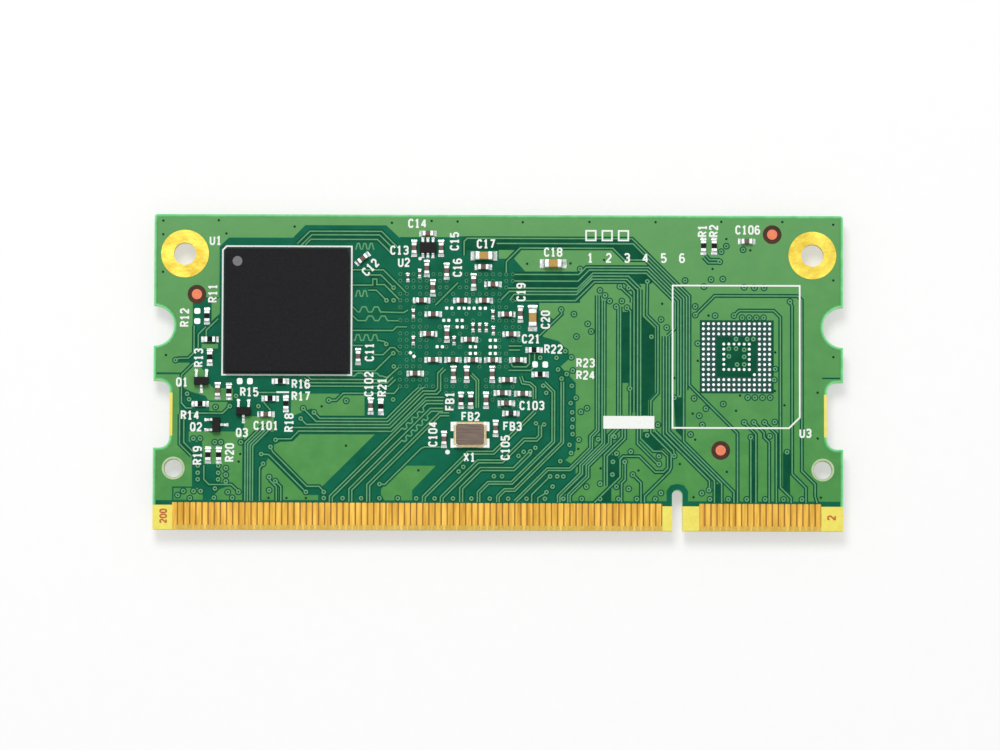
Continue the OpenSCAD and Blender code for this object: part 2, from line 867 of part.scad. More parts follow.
module bead_end_caps() {
    color([0.82, 0.83, 0.84])
        on_upper(proc_at, proc_beads)
            end_caps(chip_l, chip_w, chip_h, chip_band);
}

// Solder at both ends of every chip part on the upper face, and at the toes of the leads.
module solder_joints_upper() {
    tall = concat(proc_capacitors, proc_beads);
    color([0.84, 0.85, 0.86]) {
        on_upper(left_at, left_capacitors)
            joints(chip_l, chip_w, chip_h, solder_reach);
        on_upper(proc_at, tall)
            joints(chip_l, chip_w, chip_h, solder_reach);
        on_upper(right_at, right_capacitors)
            joints(chip_l, chip_w, chip_h, solder_reach);
        on_upper(proc_at, proc_large_capacitors)
            joints(large_l, large_w, large_h, large_reach);
        on_upper(proc_at, proc_small_capacitors)
            joints(small_l, small_w, small_h, small_reach);
        on_upper(left_at, left_resistors)
            joints(chip_l, chip_w, resistor_h, solder_reach);
        on_upper(proc_at, proc_resistors)
            joints(chip_l, chip_w, resistor_h, solder_reach);
        on_upper(right_at, right_resistors)
            joints(chip_l, chip_w, resistor_h, solder_reach);
        on_upper(left_at, left_transistors) {
            for (s = [-1, 1])
                translate([s * transistor_pitch / 2, 0, 0])
                    lead_joint(transistor_w / 2, transistor_reach);
            rotate(180)
                lead_joint(transistor_w / 2, transistor_reach);
        }
        on_upper(supply_at, [[0, 0, 0], [0, 0, 180]])
            for (i = [-1:1])
                translate([i * supply_pitch, 0, 0])
                    lead_joint(supply_w / 2, supply_reach);
    }
}

// Solder beyond the toe of a lead on the +Y side.
module lead_joint(half_w, reach) {
    translate([0, half_w + reach, 0])
        rotate(90)
            fillet(reach * 0.4, lead_t, lead_w * 1.3);
}

module processor_moulding() {
    color([0.13, 0.13, 0.14])
        translate([proc_at[0], proc_at[1], lower_z - proc_stack])
            plate(proc_w, proc_w, proc_mould_t);
}

module processor_laminate() {
    color([0.1, 0.24, 0.15])
        translate([proc_at[0], proc_at[1], lower_z - proc_standoff - proc_sub_t])
            plate(proc_w, proc_w, proc_sub_t);
}

// Three rings of balls round the rim of the processor and a square field in its middle.
module processor_balls() {
    n = along(proc_w, proc_margin, proc_pitch);
    half = (n - 1) / 2;
    color([0.78, 0.79, 0.8])
        for (i = [0:n - 1])
            for (j = [0:n - 1])
                if (ring_of(i, j, n) < 3 || ring_of(i, j, n) > 5)
                    translate([
                        proc_at[0] + (i - half) * proc_pitch,
                        proc_at[1] + (j - half) * proc_pitch,
                        lower_z - proc_standoff
                    ])
                        ball(proc_ball_d, proc_standoff);
}

// Reach of an inductor's terminal strip over its underside.
strip_reach = inductor_l * 0.24;

// The two strips of an inductor, each folded from the end face on to the mounting face.
module strips() {
    for (s = [-1, 1])
        rotate(s > 0 ? 0 : 180)
            rotate([90, 0, 0])
                linear_extrude(inductor_w * 0.6, center = true)
                    polygon([
                        [inductor_l / 2, 0],
                        [inductor_l / 2, inductor_h * 0.6],
                        [inductor_l / 2 - strip_t, inductor_h * 0.6],
                        [inductor_l / 2 - strip_t, strip_t],
                        [inductor_l / 2 - strip_reach, strip_t],
                        [inductor_l / 2 - strip_reach, 0]
                    ]);
}

module inductor_cores() {
    color([0.27, 0.27, 0.28])
        on_lower(proc_at, lower_inductors)
            difference() {
                linear_extrude(inductor_h)
                    rounded(inductor_l, inductor_w, inductor_r);
                strips();
            }
}

module inductor_terminals() {
    color([0.82, 0.83, 0.84])
        on_lower(proc_at, lower_inductors)
            strips();
}

// The regulator's lands: two rows along its sides and one wide land in the middle.
module lands() {
    for (s = [-1, 1])
        for (i = [-2:2])
            translate([s * (regulator_w - regulator_land_l) / 2, i * regulator_pitch, 0])
                plate(regulator_land_l, regulator_pitch * 0.5, regulator_land_t);
    plate(regulator_w * 0.5, regulator_w * 0.7, regulator_land_t);
}

module regulator_body() {
    color([0.13, 0.13, 0.14])
        on_lower(regulator_at, [[0, 0, 0]])
            difference() {
                plate(regulator_w, regulator_w, regulator_h);
                lands();
            }
}

module regulator_lands() {
    color([0.82, 0.83, 0.84])
        on_lower(regulator_at, [[0, 0, 0]])
            lands();
}

module lower_capacitor_bodies() {
    color([0.62, 0.49, 0.36])
        on_lower(proc_at, lower_ring)
            ceramic(chip_l, chip_w, chip_h);
}

module lower_capacitor_end_caps() {
    color([0.82, 0.83, 0.84])
        on_lower(proc_at, lower_ring)
            end_caps(chip_l, chip_w, chip_h, chip_band);
}

module lower_large_capacitor_bodies() {
    color([0.74, 0.62, 0.42])
        on_lower(proc_at, lower_large)
            ceramic(large_l, large_w, large_h);
}

module lower_large_capacitor_end_caps() {
    color([0.82, 0.83, 0.84])
        on_lower(proc_at, lower_large)
            end_caps(large_l, large_w, large_h, large_band);
}

module lower_resistor_slabs() {
    color([0.9, 0.9, 0.87])
        on_lower(left_at, lower_resistor_row)
            slab(chip_l, chip_w, resistor_h);
}

module lower_resistor_coats() {
    color([0.1, 0.1, 0.11])
        on_lower(left_at, lower_resistor_row)
            coat(chip_l, chip_w, resistor_h, chip_band);
}

module lower_resistor_end_caps() {
    color([0.82, 0.83, 0.84])
        on_lower(left_at, lower_resistor_row)
            folded_caps(chip_l, chip_w, resistor_h, chip_band);
}

// Solder at both ends of every chip part and inductor on the lower face.
module solder_joints_lower() {
    color([0.84, 0.85, 0.86]) {
        on_lower(proc_at, lower_ring)
            joints(chip_l, chip_w, chip_h, solder_reach);
        on_lower(proc_at, lower_large)
            joints(large_l, large_w, large_h, large_reach);
        on_lower(left_at, lower_resistor_row)
            joints(chip_l, chip_w, resistor_h, solder_reach);
        on_lower(proc_at, lower_inductors)
            joints(inductor_l, inductor_w * 0.5, inductor_h * 0.5, solder_reach);
    }
}

circuit_board();
screw_hole_plating();
edge_contacts_upper();
edge_contacts_lower();
sighting_marks();
vacant_grid_lands();
vacant_chip_pads();
memory_moulding();
memory_laminate();
memory_balls();
crystal_base();
crystal_seal_ring();
crystal_lid();
crystal_terminals();
transistor_bodies();
transistor_leads();
supply_chip_body();
supply_chip_leads();
capacitor_bodies();
capacitor_end_caps();
large_capacitor_bodies();
large_capacitor_end_caps();
small_capacitor_bodies();
small_capacitor_end_caps();
resistor_slabs();
resistor_coats();
resistor_end_caps();
bead_bodies();
bead_end_caps();
solder_joints_upper();
processor_moulding();
processor_laminate();
processor_balls();
inductor_cores();
inductor_terminals();
regulator_body();
regulator_lands();
lower_capacitor_bodies();
lower_capacitor_end_caps();
lower_large_capacitor_bodies();
lower_large_capacitor_end_caps();
lower_resistor_slabs();
lower_resistor_coats();
lower_resistor_end_caps();
solder_joints_lower();
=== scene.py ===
"""Looks of a compute module card: masked copper, print, finishes, light and camera.

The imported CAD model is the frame. Its solids keep their places and get procedural finishes.
Copper under the solder mask, printed lines and bare laminate are thin shells worked out with
numpy and laid on the two faces of the board. Lengths are in millimetres until a mesh is made.
"""

import json
import logging
import math
from dataclasses import dataclass
from enum import Enum

import bpy
import numpy as np
from mathutils import Matrix, Vector
from mathutils.geometry import tessellate_polygon

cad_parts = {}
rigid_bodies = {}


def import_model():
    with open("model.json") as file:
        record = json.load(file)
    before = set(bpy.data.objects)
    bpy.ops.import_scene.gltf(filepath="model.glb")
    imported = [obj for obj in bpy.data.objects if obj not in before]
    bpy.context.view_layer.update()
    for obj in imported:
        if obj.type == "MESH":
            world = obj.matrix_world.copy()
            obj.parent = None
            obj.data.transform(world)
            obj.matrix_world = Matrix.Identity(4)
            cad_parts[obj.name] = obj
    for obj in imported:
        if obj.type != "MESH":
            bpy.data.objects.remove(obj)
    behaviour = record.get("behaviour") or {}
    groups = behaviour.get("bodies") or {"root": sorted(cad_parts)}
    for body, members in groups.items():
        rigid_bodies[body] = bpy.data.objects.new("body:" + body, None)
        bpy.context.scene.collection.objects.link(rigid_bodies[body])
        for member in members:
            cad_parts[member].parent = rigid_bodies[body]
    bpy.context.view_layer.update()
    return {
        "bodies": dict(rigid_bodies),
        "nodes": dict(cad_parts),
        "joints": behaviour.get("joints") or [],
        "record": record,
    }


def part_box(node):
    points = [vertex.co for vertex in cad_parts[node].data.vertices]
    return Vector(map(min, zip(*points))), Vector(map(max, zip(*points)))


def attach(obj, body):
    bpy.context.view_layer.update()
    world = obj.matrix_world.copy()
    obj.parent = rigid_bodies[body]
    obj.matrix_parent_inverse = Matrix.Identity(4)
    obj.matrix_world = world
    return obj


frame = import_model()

LOG = logging.getLogger("card")
MM = 0.001

Point = tuple[float, float]
Points = tuple[Point, ...]
Span = tuple[float | np.ndarray, float | np.ndarray]
Colour = tuple[int, int, int]
Socket = bpy.types.NodeSocket

# The board's own sizes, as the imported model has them.
BOARD_LOW, BOARD_HIGH = (np.array(corner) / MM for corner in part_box("circuit_board"))
SIDE_X = float(BOARD_HIGH[0])
FAR_Y = float(BOARD_HIGH[1])


class Side(Enum):
    """A face of the board, with its height and the way that its layers rise."""

    UPPER = (float(BOARD_HIGH[2]), 1.0)
    LOWER = (float(BOARD_LOW[2]), -1.0)

    def span(self, rise: float | np.ndarray) -> Span:
        """Lowest and highest level of a layer on this face.

        Args:
            rise: How far the layer stands out, for all its shells or for each.

        Returns:
            The two levels, from a little inside the board.
        """
        level, way = self.value
        ends = (level - way * SUNK, level + way * rise)
        return np.minimum(*ends), np.maximum(*ends)


# Levels of the layers over a face of the board, and how far each shell sinks into it. Shells of
# one layer that may cross stand a step apart.
SUNK = 0.02
STEP = 0.0004
POUR_RISE = 0.006
SHADE_RISE = 0.0076
FIELD_RISE = 0.008
GAP_RISE = 0.0096
GRID_RISE = 0.0158
CLEAR_RISE = 0.0162
TRACE_RISE = 0.018
PIT_RISE = 0.0262
RING_RISE = 0.0272
GLOW_RISE = 0.0285
BARE_RISE = 0.0295
PRINT_RISE = 0.034

# How many neighbours of a layer stand at different steps.
FIELD_TIERS = 4
GAP_TIERS = 15
TRACE_TIERS = 20

# Sides of what is round: vias, spots of print, and holes and rings.
VIA_SIDES = 14
SPOT_SIDES = 20
HOLE_SIDES = 24
RING_SIDES = 32

# The least that two normals at a corner count for, which keeps a sharp mitre short.
LEAST_LEAN = 0.4


def tiers(count: int, depth: int) -> np.ndarray:
    """Small rises that keep neighbours in a list apart."""
    return (np.arange(count) % depth) * STEP


# Shapes


@dataclass
class Shell:
    """Points of one or more closed shells, and blocks of faces with equally many corners."""

    points: np.ndarray
    faces: list[np.ndarray]


def joined(shells: list[Shell]) -> Shell:
    """Put several shells into one list of points and faces.

    Args:
        shells: The shells to put together.

    Returns:
        One shell, with each face's numbers moved past the points before it.
    """
    starts = np.cumsum([0] + [len(shell.points) for shell in shells[:-1]])
    faces = [block + start for shell, start in zip(shells, starts) for block in shell.faces]
    return Shell(np.concatenate([shell.points for shell in shells]), faces)


def mitres(path: np.ndarray, closed: bool) -> np.ndarray:
    """Work out the sideways step at each point of a path.

    At a point, the step is the sum of the unit normals of the two pieces that meet there over
    one plus their dot product, which keeps a strip's width through a corner.

    Args:
        path: Points of the path, one row each.
        closed: Whether the last point leads back to the first.

    Returns:
        One step per point, for a strip that reaches 1 mm to the left.
    """
    ends = np.roll(path, -1, axis=0) if closed else path[1:]
    run = ends - path[: len(ends)]
    run = run / np.linalg.norm(run, axis=1, keepdims=True)
    normal = np.stack([-run[:, 1], run[:, 0]], axis=1)
    before = np.roll(normal, 1, axis=0) if closed else np.vstack([normal[:1], normal])
    after = normal if closed else np.vstack([normal, normal[-1:]])
    lean = np.maximum(1.0 + (before * after).sum(axis=1, keepdims=True), LEAST_LEAN)
    return (before + after) / lean


def carried(rails: np.ndarray, span: Span, closed: bool) -> Shell:
    """Carry a flat four-cornered profile along two rails.

    Each point of the path gives a section: the left rail, the right rail, and both again at the
    lower level. Sections are joined by four faces, and an open path is closed at both ends.

    Args:
        rails: Left and right point of each section.
        span: Lowest and highest level.
        closed: Whether the last section leads back to the first.

    Returns:
        The closed strip.
    """
    count = len(rails)
    around = rails[:, [0, 1, 1, 0]]
    levels = np.broadcast_to(np.array(span)[[1, 1, 0, 0]][None, :, None], (count, 4, 1))
    points = np.concatenate([around, levels], axis=2).reshape(-1, 3)
    here = np.arange(count if closed else count - 1)[:, None] * 4
    there = (here + 4) % (4 * count)
    corner, after = np.arange(4), (np.arange(4) + 1) % 4
    quads = np.stack([here + corner, here + after, there + after, there + corner], axis=2)
    ends = np.array([[3, 2, 1, 0], np.arange(4) + 4 * (count - 1)])
    return Shell(points, [quads.reshape(-1, 4), *([] if closed else [ends])])


def ribbon(path: np.ndarray, width: float, span: Span) -> Shell:
    """Carry a strip along a path, half its width to either side along the mitres.

    Args:
        path: Points of the path, one row each. A loop ends where it starts.
        width: Width of the ribbon.
        span: Lowest and highest level.

    Returns:
        The closed ribbon.
    """
    closed = bool(np.allclose(path[0], path[-1]))
    middle = path[:-1] if closed else path
    side = mitres(middle, closed) * (width / 2)
    return carried(np.stack([middle + side, middle - side], axis=1), span, closed)


def inside(outline: np.ndarray, point: Point) -> bool:
    """Tell whether a point lies in an outline, by the walls that a ray to the right crosses.

    Args:
        outline: Corners in order.
        point: The point to test.

    Returns:
        Whether the count of crossings is odd.
    """
    ahead = np.roll(outline, -1, axis=0)
    rise = ahead[:, 1] - outline[:, 1]
    crossed = (outline[:, 1] > point[1]) != (ahead[:, 1] > point[1])
    share = (point[1] - outline[:, 1]) / np.where(crossed, rise, 1.0)
    reach = outline[:, 0] + share * (ahead[:, 0] - outline[:, 0])
    return bool((crossed & (reach > point[0])).sum() % 2)


def turned_left(outline: np.ndarray) -> np.ndarray:
    """Turn an outline the way that makes its area positive.

    Args:
        outline: Corners in order, either way round.

    Returns:
        The corners counter-clockwise.
    """
    ahead = np.roll(outline, -1, axis=0)
    area = (outline[:, 0] * ahead[:, 1] - ahead[:, 0] * outline[:, 1]).sum()
    return outline if area > 0 else outline[::-1]


def plate(outline: np.ndarray, span: Span, holes: tuple[np.ndarray, ...] = ()) -> Shell:
    """Carry upright walls round an outline and its holes, and close them above and below.

    Args:
        outline: Corners in order, either way round.
        span: Lowest and highest level.
        holes: Outlines of the holes, either way round.

    Returns:
        The closed plate.
    """
    loops = [turned_left(outline), *(turned_left(hole)[::-1] for hole in holes)]
    rim = np.concatenate(loops)
    count = len(rim)
    points = np.vstack([np.column_stack([rim, np.full(count, level)]) for level in span])
    starts = np.cumsum([0] + [len(loop) for loop in loops[:-1]])
    here = np.arange(count)
    there = np.concatenate([
        start + (np.arange(len(loop)) + 1) % len(loop) for start, loop in zip(starts, loops)
    ])
    walls = np.stack([here, there, there + count, here + count], axis=1)
    cap = here[None, :]
    if holes:
        cap = np.array(tessellate_polygon([loop.tolist() for loop in loops]))
        first, second, third = (rim[cap[:, corner]] for corner in range(3))
        lean = np.cross(second - first, third - first)
        cap = np.where(lean[:, None] > 0, cap, cap[:, ::-1])
    return Shell(points, [walls, cap + count, cap[:, ::-1]])


def border(outline: np.ndarray, width: float | np.ndarray, span: Span) -> Shell:
    """Carry a flat profile round a closed outline, from its rim inwards.

    Each corner gives a section that runs from the rim to one width along the mitre.

    Args:
        outline: Corners of the rim, counter-clockwise.
        width: Reach inwards, for all corners or for each.
        span: Lowest and highest level.

    Returns:
        The closed border.
    """
    inner = outline + mitres(outline, True) * width
    return carried(np.stack([inner, outline], axis=1), span, True)


def spokes(sides: int) -> np.ndarray:
    """Unit steps from a centre, evenly round a full turn."""
    turn = np.arange(sides) * (2 * math.pi / sides)
    return np.stack([np.cos(turn), np.sin(turn)], axis=1)


def discs(centres: np.ndarray, radius: float, span: Span, sides: int) -> Shell:
    """Stand a many-sided prism at each centre.

    Corner k of each prism lies at the radius, k parts of a full turn round its centre.

    Args:
        centres: Centres, one row each.
        radius: Radius of every prism.
        span: Lowest and highest level, for all prisms or for each.
        sides: Sides of each prism.

    Returns:
        All prisms as one list.
    """
    rim = centres[:, None, :] + radius * spokes(sides)
    ends = [np.broadcast_to(level, len(centres))[:, None, None] for level in span]
    layers = [
        np.concatenate([rim, np.broadcast_to(end, (*rim.shape[:2], 1))], axis=2) for end in ends
    ]
    points = np.concatenate(layers, axis=1).reshape(-1, 3)
    start = np.arange(len(centres))[:, None] * (2 * sides)
    here = np.arange(sides)
    there = (here + 1) % sides
    walls = np.stack([here, there, there + sides, here + sides], axis=1)
    sheath = (start[:, None] + walls).reshape(-1, 4)
    return Shell(points, [sheath, start + here + sides, start + here[::-1]])


def rings(centres: np.ndarray, inner: float, outer: float, span: Span, sides: int) -> Shell:
    """Turn a four-cornered profile about each centre.

    Section k of each ring lies k parts of a full turn round its centre, with two corners at
    the inner radius and two at the outer.

    Args:
        centres: Centres, one row each.
        inner: Radius of the hole.
        outer: Outer radius.
        span: Lowest and highest level.
        sides: Sides of each ring.

    Returns:
        All rings as one list.
    """
    reach = np.array([inner, outer, outer, inner])
    level = np.array(span)[[1, 1, 0, 0]]
    flat = centres[:, None, None, :] + reach[:, None] * spokes(sides)[:, None, :]
    height = np.broadcast_to(level[:, None], (*flat.shape[:3], 1))
    points = np.concatenate([flat, height], axis=3).reshape(-1, 3)
    start = np.arange(len(centres))[:, None, None] * (4 * sides)
    here = (np.arange(sides) * 4)[:, None]
    there = ((np.arange(sides) + 1) % sides * 4)[:, None]
    corner, after = np.arange(4), (np.arange(4) + 1) % 4
    quads = np.stack([here + corner, here + after, there + after, there + corner], axis=2)
    return Shell(points, [(start + quads.reshape(-1, 4)).reshape(-1, 4)])


def arc(centre: Point, radius: float, first: float, last: float, steps: int = 12) -> np.ndarray:
    """Points on a circle between two angles in degrees.

    Args:
        centre: Centre of the circle.
        radius: Radius of the circle.
        first: Angle of the first point.
        last: Angle of the last point.
        steps: Number of points.

    Returns:
        The points, one row each.
    """
    turn = np.radians(np.linspace(first, last, steps))
    return np.array(centre) + radius * np.stack([np.cos(turn), np.sin(turn)], axis=1)


def box_path(low: Point, high: Point) -> np.ndarray:
    """The four corners of an upright rectangle."""
    return np.array([low, (high[0], low[1]), high, (low[0], high[1])])


def listed(rows: np.ndarray) -> Points:
    """Rows of an array as plain points."""
    return tuple(map(tuple, rows.tolist()))


# Finishes


# The display's curve: where its straight foot ends, the foot's slope, the bend's offset and power.
FOOT_END = 0.04045
FOOT_SLOPE = 12.92
BEND_OFFSET = 0.055
BEND_POWER = 2.4


def linear(colour: Colour) -> tuple[float, float, float, float]:
    """Turn a display colour from 0 to 255 into the renderer's linear colour.

    Args:
        colour: Red, green and blue as shown on a screen.

    Returns:
        Linear red, green, blue and full cover.
    """
    share = np.array(colour) / 255
    bend = ((share + BEND_OFFSET) / (1 + BEND_OFFSET)) ** BEND_POWER
    value = np.where(share <= FOOT_END, share / FOOT_SLOPE, bend)
    return (*value.tolist(), 1.0)


# How a grain is drawn: range of the shares that it mixes, ranges that its noise and its cells
# come in, how far streaks are drawn out, and the noise's detail and falloff.
FULL = (0.0, 1.0)
NOISE_RANGE = (0.28, 0.72)
CELL_RANGE = (0.0, 0.8)
STREAK = 0.08
FINE_DETAIL = 8.0
SOFT_DETAIL = 3.0
FALLOFF = 0.62

# Depth of relief as a share of the grain's size, cover of the far tone at the far edge, and how
# far a surface leans from upright to level.
RELIEF = 0.08
FAR_COVER = 0.85
LEAN_RANGE = (0.4, 0.6)


# Sockets of a mix node that carry its two colours, and the one that carries the mixed colour.
MIX_COLOURS = (6, 7)
MIX_RESULT = 2


class Grain(Enum):
    """The kind of pattern that breaks up a finish."""

    MOTTLE = "soft clouds"
    SPECKLE = "fine specks"
    BRUSHED_X = "streaks along X"
    BRUSHED_Y = "streaks along Y"
    CELL = "sintered cells"


class Graph:
    """Shader nodes of one material, added one at a time."""

    def __init__(self, tree: bpy.types.NodeTree) -> None:
        """Keep the tree that the nodes go into."""
        self.tree = tree

    def add(self, kind: str, **settings: object) -> bpy.types.Node:
        """Add a node and set its named properties.

        Args:
            kind: Type name of the node.
            settings: Properties of the node.

        Returns:
            The new node.
        """
        node = self.tree.nodes.new(kind)
        for key, value in settings.items():
            setattr(node, key, value)
        return node

    def join(self, source: Socket, target: Socket) -> None:
        """Lead one socket to another."""
        self.tree.links.new(source, target)

    def blend(self, factor: Socket, first: Colour | Socket, second: Colour | Socket) -> Socket:
        """Mix two colours by a pattern.

        Args:
            factor: Pattern from 0 to 1.
            first: Colour or socket at 0.
            second: Colour or socket at 1.

        Returns:
            The mixed colour.
        """
        node = self.add("ShaderNodeMix", data_type="RGBA")
        self.join(factor, node.inputs[0])
        for socket, value in zip(MIX_COLOURS, (first, second)):
            if isinstance(value, tuple):
                node.inputs[socket].default_value = linear(value)
            else:
                self.join(value, node.inputs[socket])
        return node.outputs[MIX_RESULT]

    def spread(self, source: Socket, given: Point, wanted: Point) -> Socket:
        """Map a range of values on to another.

        Args:
            source: Value to map.
            given: Range that it comes in.
            wanted: Range that it leaves with.

        Returns:
            The mapped value.
        """
        node = self.add("ShaderNodeMapRange")
        for name, value in zip(("From Min", "From Max", "To Min", "To Max"), (*given, *wanted)):
            node.inputs[name].default_value = value
        self.join(source, node.inputs["Value"])
        return node.outputs[0]

    def seen(self) -> Socket:
        """Tell rays that end in the picture from those that only light it.

        Returns:
            1 for camera, glossy and transmission rays, and 0 for the rest.
        """
        rays = self.add("ShaderNodeLightPath")
        found = rays.outputs["Is Camera Ray"]
        for name in ("Is Glossy Ray", "Is Transmission Ray"):
            either = self.add("ShaderNodeMath", operation="MAXIMUM")
            self.join(found, either.inputs[0])
            self.join(rays.outputs[name], either.inputs[1])
            found = either.outputs[0]
        return found


@dataclass(frozen=True)
class Finish:
    """A procedural finish: two tones broken up by a grain, with its gloss and relief."""

    name: str
    slot: str
    light: Colour
    dark: Colour
    grain: Grain = Grain.MOTTLE
    size: float = 0.6
    rough: Point = (0.35, 0.5)
    metallic: float = 0.0
    bump: float = 0.0
    specular: float = 0.5
    far: Colour | None = None

    def pattern(self, graph: Graph) -> Socket:
        """Lay the grain over object space.

        Args:
            graph: Nodes of the material.

        Returns:
            The pattern, from 0 to 1.
        """
        place = graph.add("ShaderNodeTexCoord")
        scale = graph.add("ShaderNodeMapping")
        step = 1 / (self.size * MM)
        stretch = {
            Grain.BRUSHED_X: (step * STREAK, step, step),
            Grain.BRUSHED_Y: (step, step * STREAK, step),
        }.get(self.grain, (step, step, step))
        scale.inputs["Scale"].default_value = stretch
        graph.join(place.outputs["Object"], scale.inputs["Vector"])
        if self.grain is Grain.CELL:
            source = graph.add("ShaderNodeTexVoronoi")
            source.inputs["Scale"].default_value = 1.0
            graph.join(scale.outputs[0], source.inputs["Vector"])
            return graph.spread(source.outputs["Distance"], CELL_RANGE, FULL)
        source = graph.add("ShaderNodeTexNoise")
        source.inputs["Scale"].default_value = 1.0
        fine = self.grain is Grain.SPECKLE
        source.inputs["Detail"].default_value = FINE_DETAIL if fine else SOFT_DETAIL
        source.inputs["Roughness"].default_value = FALLOFF
        graph.join(scale.outputs[0], source.inputs["Vector"])
        return graph.spread(source.outputs[0], NOISE_RANGE, FULL)

    def colour(self, graph: Graph, pattern: Socket) -> Socket:
        """Mix the tones by the grain, and drift to the far tone across the board.

        Args:
            graph: Nodes of the material.
            pattern: The grain, from 0 to 1.

        Returns:
            The surface colour.
        """
        tone = graph.blend(pattern, self.dark, self.light)
        if self.far is None:
            return tone
        place = graph.add("ShaderNodeTexCoord")
        parts = graph.add("ShaderNodeSeparateXYZ")
        graph.join(place.outputs["Object"], parts.inputs[0])
        drift = graph.spread(parts.outputs["Y"], (-FAR_Y * MM, FAR_Y * MM), (0.0, FAR_COVER))
        return graph.blend(drift, tone, self.far)

    def material(self) -> bpy.types.Material:
        """Build the material once and give it back each time after.

        Returns:
            The material of this finish.
        """
        label = f"{self.name}_finish"
        known = bpy.data.materials.get(label)
        if known is not None:
            return known
        made = bpy.data.materials.new(label)
        made.use_nodes = True
        graph = Graph(made.node_tree)
        shader = made.node_tree.nodes["Principled BSDF"]
        shader.inputs["Metallic"].default_value = self.metallic
        shader.inputs["Specular IOR Level"].default_value = self.specular
        pattern = self.pattern(graph)
        graph.join(self.colour(graph, pattern), shader.inputs["Base Color"])
        graph.join(graph.spread(pattern, FULL, self.rough), shader.inputs["Roughness"])
        if self.bump:
            relief = graph.add("ShaderNodeBump")
            relief.inputs["Strength"].default_value = self.bump
            relief.inputs["Distance"].default_value = RELIEF * self.size * MM
            graph.join(pattern, relief.inputs["Height"])
            graph.join(relief.outputs[0], shader.inputs["Normal"])
        return made


@dataclass(frozen=True)
class BoardFinish(Finish):
    """Solder mask on the two faces of the board, and bare laminate on its cut walls."""

    wall_light: Colour = (214, 214, 128)
    wall_dark: Colour = (176, 190, 104)

    def colour(self, graph: Graph, pattern: Socket) -> Socket:
        """Choose mask or laminate by how upright the surface stands.

        Args:
            graph: Nodes of the material.
            pattern: The grain, from 0 to 1.

        Returns:
            The surface colour.
        """
        mask = graph.blend(pattern, self.dark, self.light)
        wall = graph.blend(pattern, self.wall_dark, self.wall_light)
        place = graph.add("ShaderNodeTexCoord")
        parts = graph.add("ShaderNodeSeparateXYZ")
        graph.join(place.outputs["Normal"], parts.inputs[0])
        size = graph.add("ShaderNodeMath", operation="ABSOLUTE")
        graph.join(parts.outputs["Z"], size.inputs[0])
        return graph.blend(graph.spread(size.outputs[0], LEAN_RANGE, FULL), wall, mask)


@dataclass(frozen=True)
class FloorFinish(Finish):
    """Pale paper that shows part of its own white, and keeps a soft shadow of the card."""

    glow: float = 0.5

    def material(self) -> bpy.types.Material:
        """Mix white light into the paper for the rays that end in the picture.

        Returns:
            The material of the floor.
        """
        made = super().material()
        graph = Graph(made.node_tree)
        glow = graph.add("ShaderNodeEmission")
        both = graph.add("ShaderNodeMixShader")
        graph.join(graph.spread(graph.seen(), FULL, (0.0, self.glow)), both.inputs[0])
        graph.join(made.node_tree.nodes["Principled BSDF"].outputs[0], both.inputs[1])
        graph.join(glow.outputs[0], both.inputs[2])
        graph.join(both.outputs[0], made.node_tree.nodes["Material Output"].inputs["Surface"])
        return made


BARE_MASK = BoardFinish(
    "mask_on_laminate", "solder_mask", (10, 106, 78), (2, 92, 64), size=2.4, rough=(0.3, 0.42),
    bump=0.1, specular=0.08,
)
GAP_MASK = Finish(
    "mask_in_gaps", "solder_mask", (8, 88, 60), (2, 72, 48), size=1.6, rough=(0.3, 0.42),
    bump=0.08, specular=0.06,
)
POUR_MASK = Finish(
    "mask_on_copper", "solder_mask", (78, 150, 72), (60, 134, 62), size=1.8, rough=(0.28, 0.4),
    bump=0.12, specular=0.2, far=(100, 160, 96),
)
TRACE_MASK = Finish(
    "mask_on_traces", "solder_mask", (106, 166, 120), (86, 150, 98), size=0.5, rough=(0.28, 0.4),
    bump=0.1, specular=0.2,
)
# Painted light: a pale green glow along the board's rim, standing in for light on its cut edges.
EDGE_GLOW = Finish(
    "painted_edge_glow", "solder_mask", (138, 228, 156), (108, 206, 130), size=0.9, rough=(0.35, 0.5),
    bump=0.08, specular=0.2,
)
# Painted light: a softer band of the same glow, just inside the rim.
INNER_EDGE_GLOW = Finish(
    "painted_inner_edge_glow", "solder_mask", (100, 188, 112), (80, 168, 92), size=0.9, rough=(0.35, 0.5),
    bump=0.08, specular=0.2,
)
FINE_VIA_MASK = Finish(
    "mask_on_fine_vias", "solder_mask", (60, 134, 98), (42, 116, 80), size=0.5, rough=(0.3, 0.42),
    bump=0.1, specular=0.2,
)
GRID_SHADE = Finish(
    "mask_between_lands", "solder_mask", (42, 84, 78), (26, 66, 60), size=0.6, rough=(0.4, 0.55),
    bump=0.1, specular=0.15,
)
# Painted light: a pale glow round the peg holes, standing in for light on their edges.
HOLE_GLOW = Finish(
    "painted_glow_at_holes", "solder_mask", (196, 214, 172), (168, 192, 142), size=0.5, rough=(0.4, 0.55),
    bump=0.08, specular=0.2,
)
PIT = Finish(
    "via_pit", "solder_mask", (12, 56, 38), (4, 36, 24), size=0.3, rough=(0.5, 0.65), bump=0.1,
    specular=0.15,
)
# Painted shade: a dark sheet on the mask round and under the memory package, standing in for the
# shadow at its foot.
PAINTED_PACKAGE_SHADOW = Finish(
    "painted_shadow_under_package", "solder_mask", (44, 62, 58), (28, 44, 40), size=0.7, rough=(0.5, 0.65),
    bump=0.1, specular=0.15,
)
BARE_LAMINATE = Finish(
    "bare_laminate", "package_laminate", (248, 236, 112), (234, 218, 86), Grain.SPECKLE, size=0.5,
    rough=(0.5, 0.65), bump=0.3, specular=0.3,
)
CONTACT_BED = Finish(
    "laminate_between_contacts", "package_laminate", (180, 126, 44), (142, 96, 30),
    Grain.BRUSHED_Y, size=0.3, rough=(0.5, 0.65), bump=0.2, specular=0.3,
)
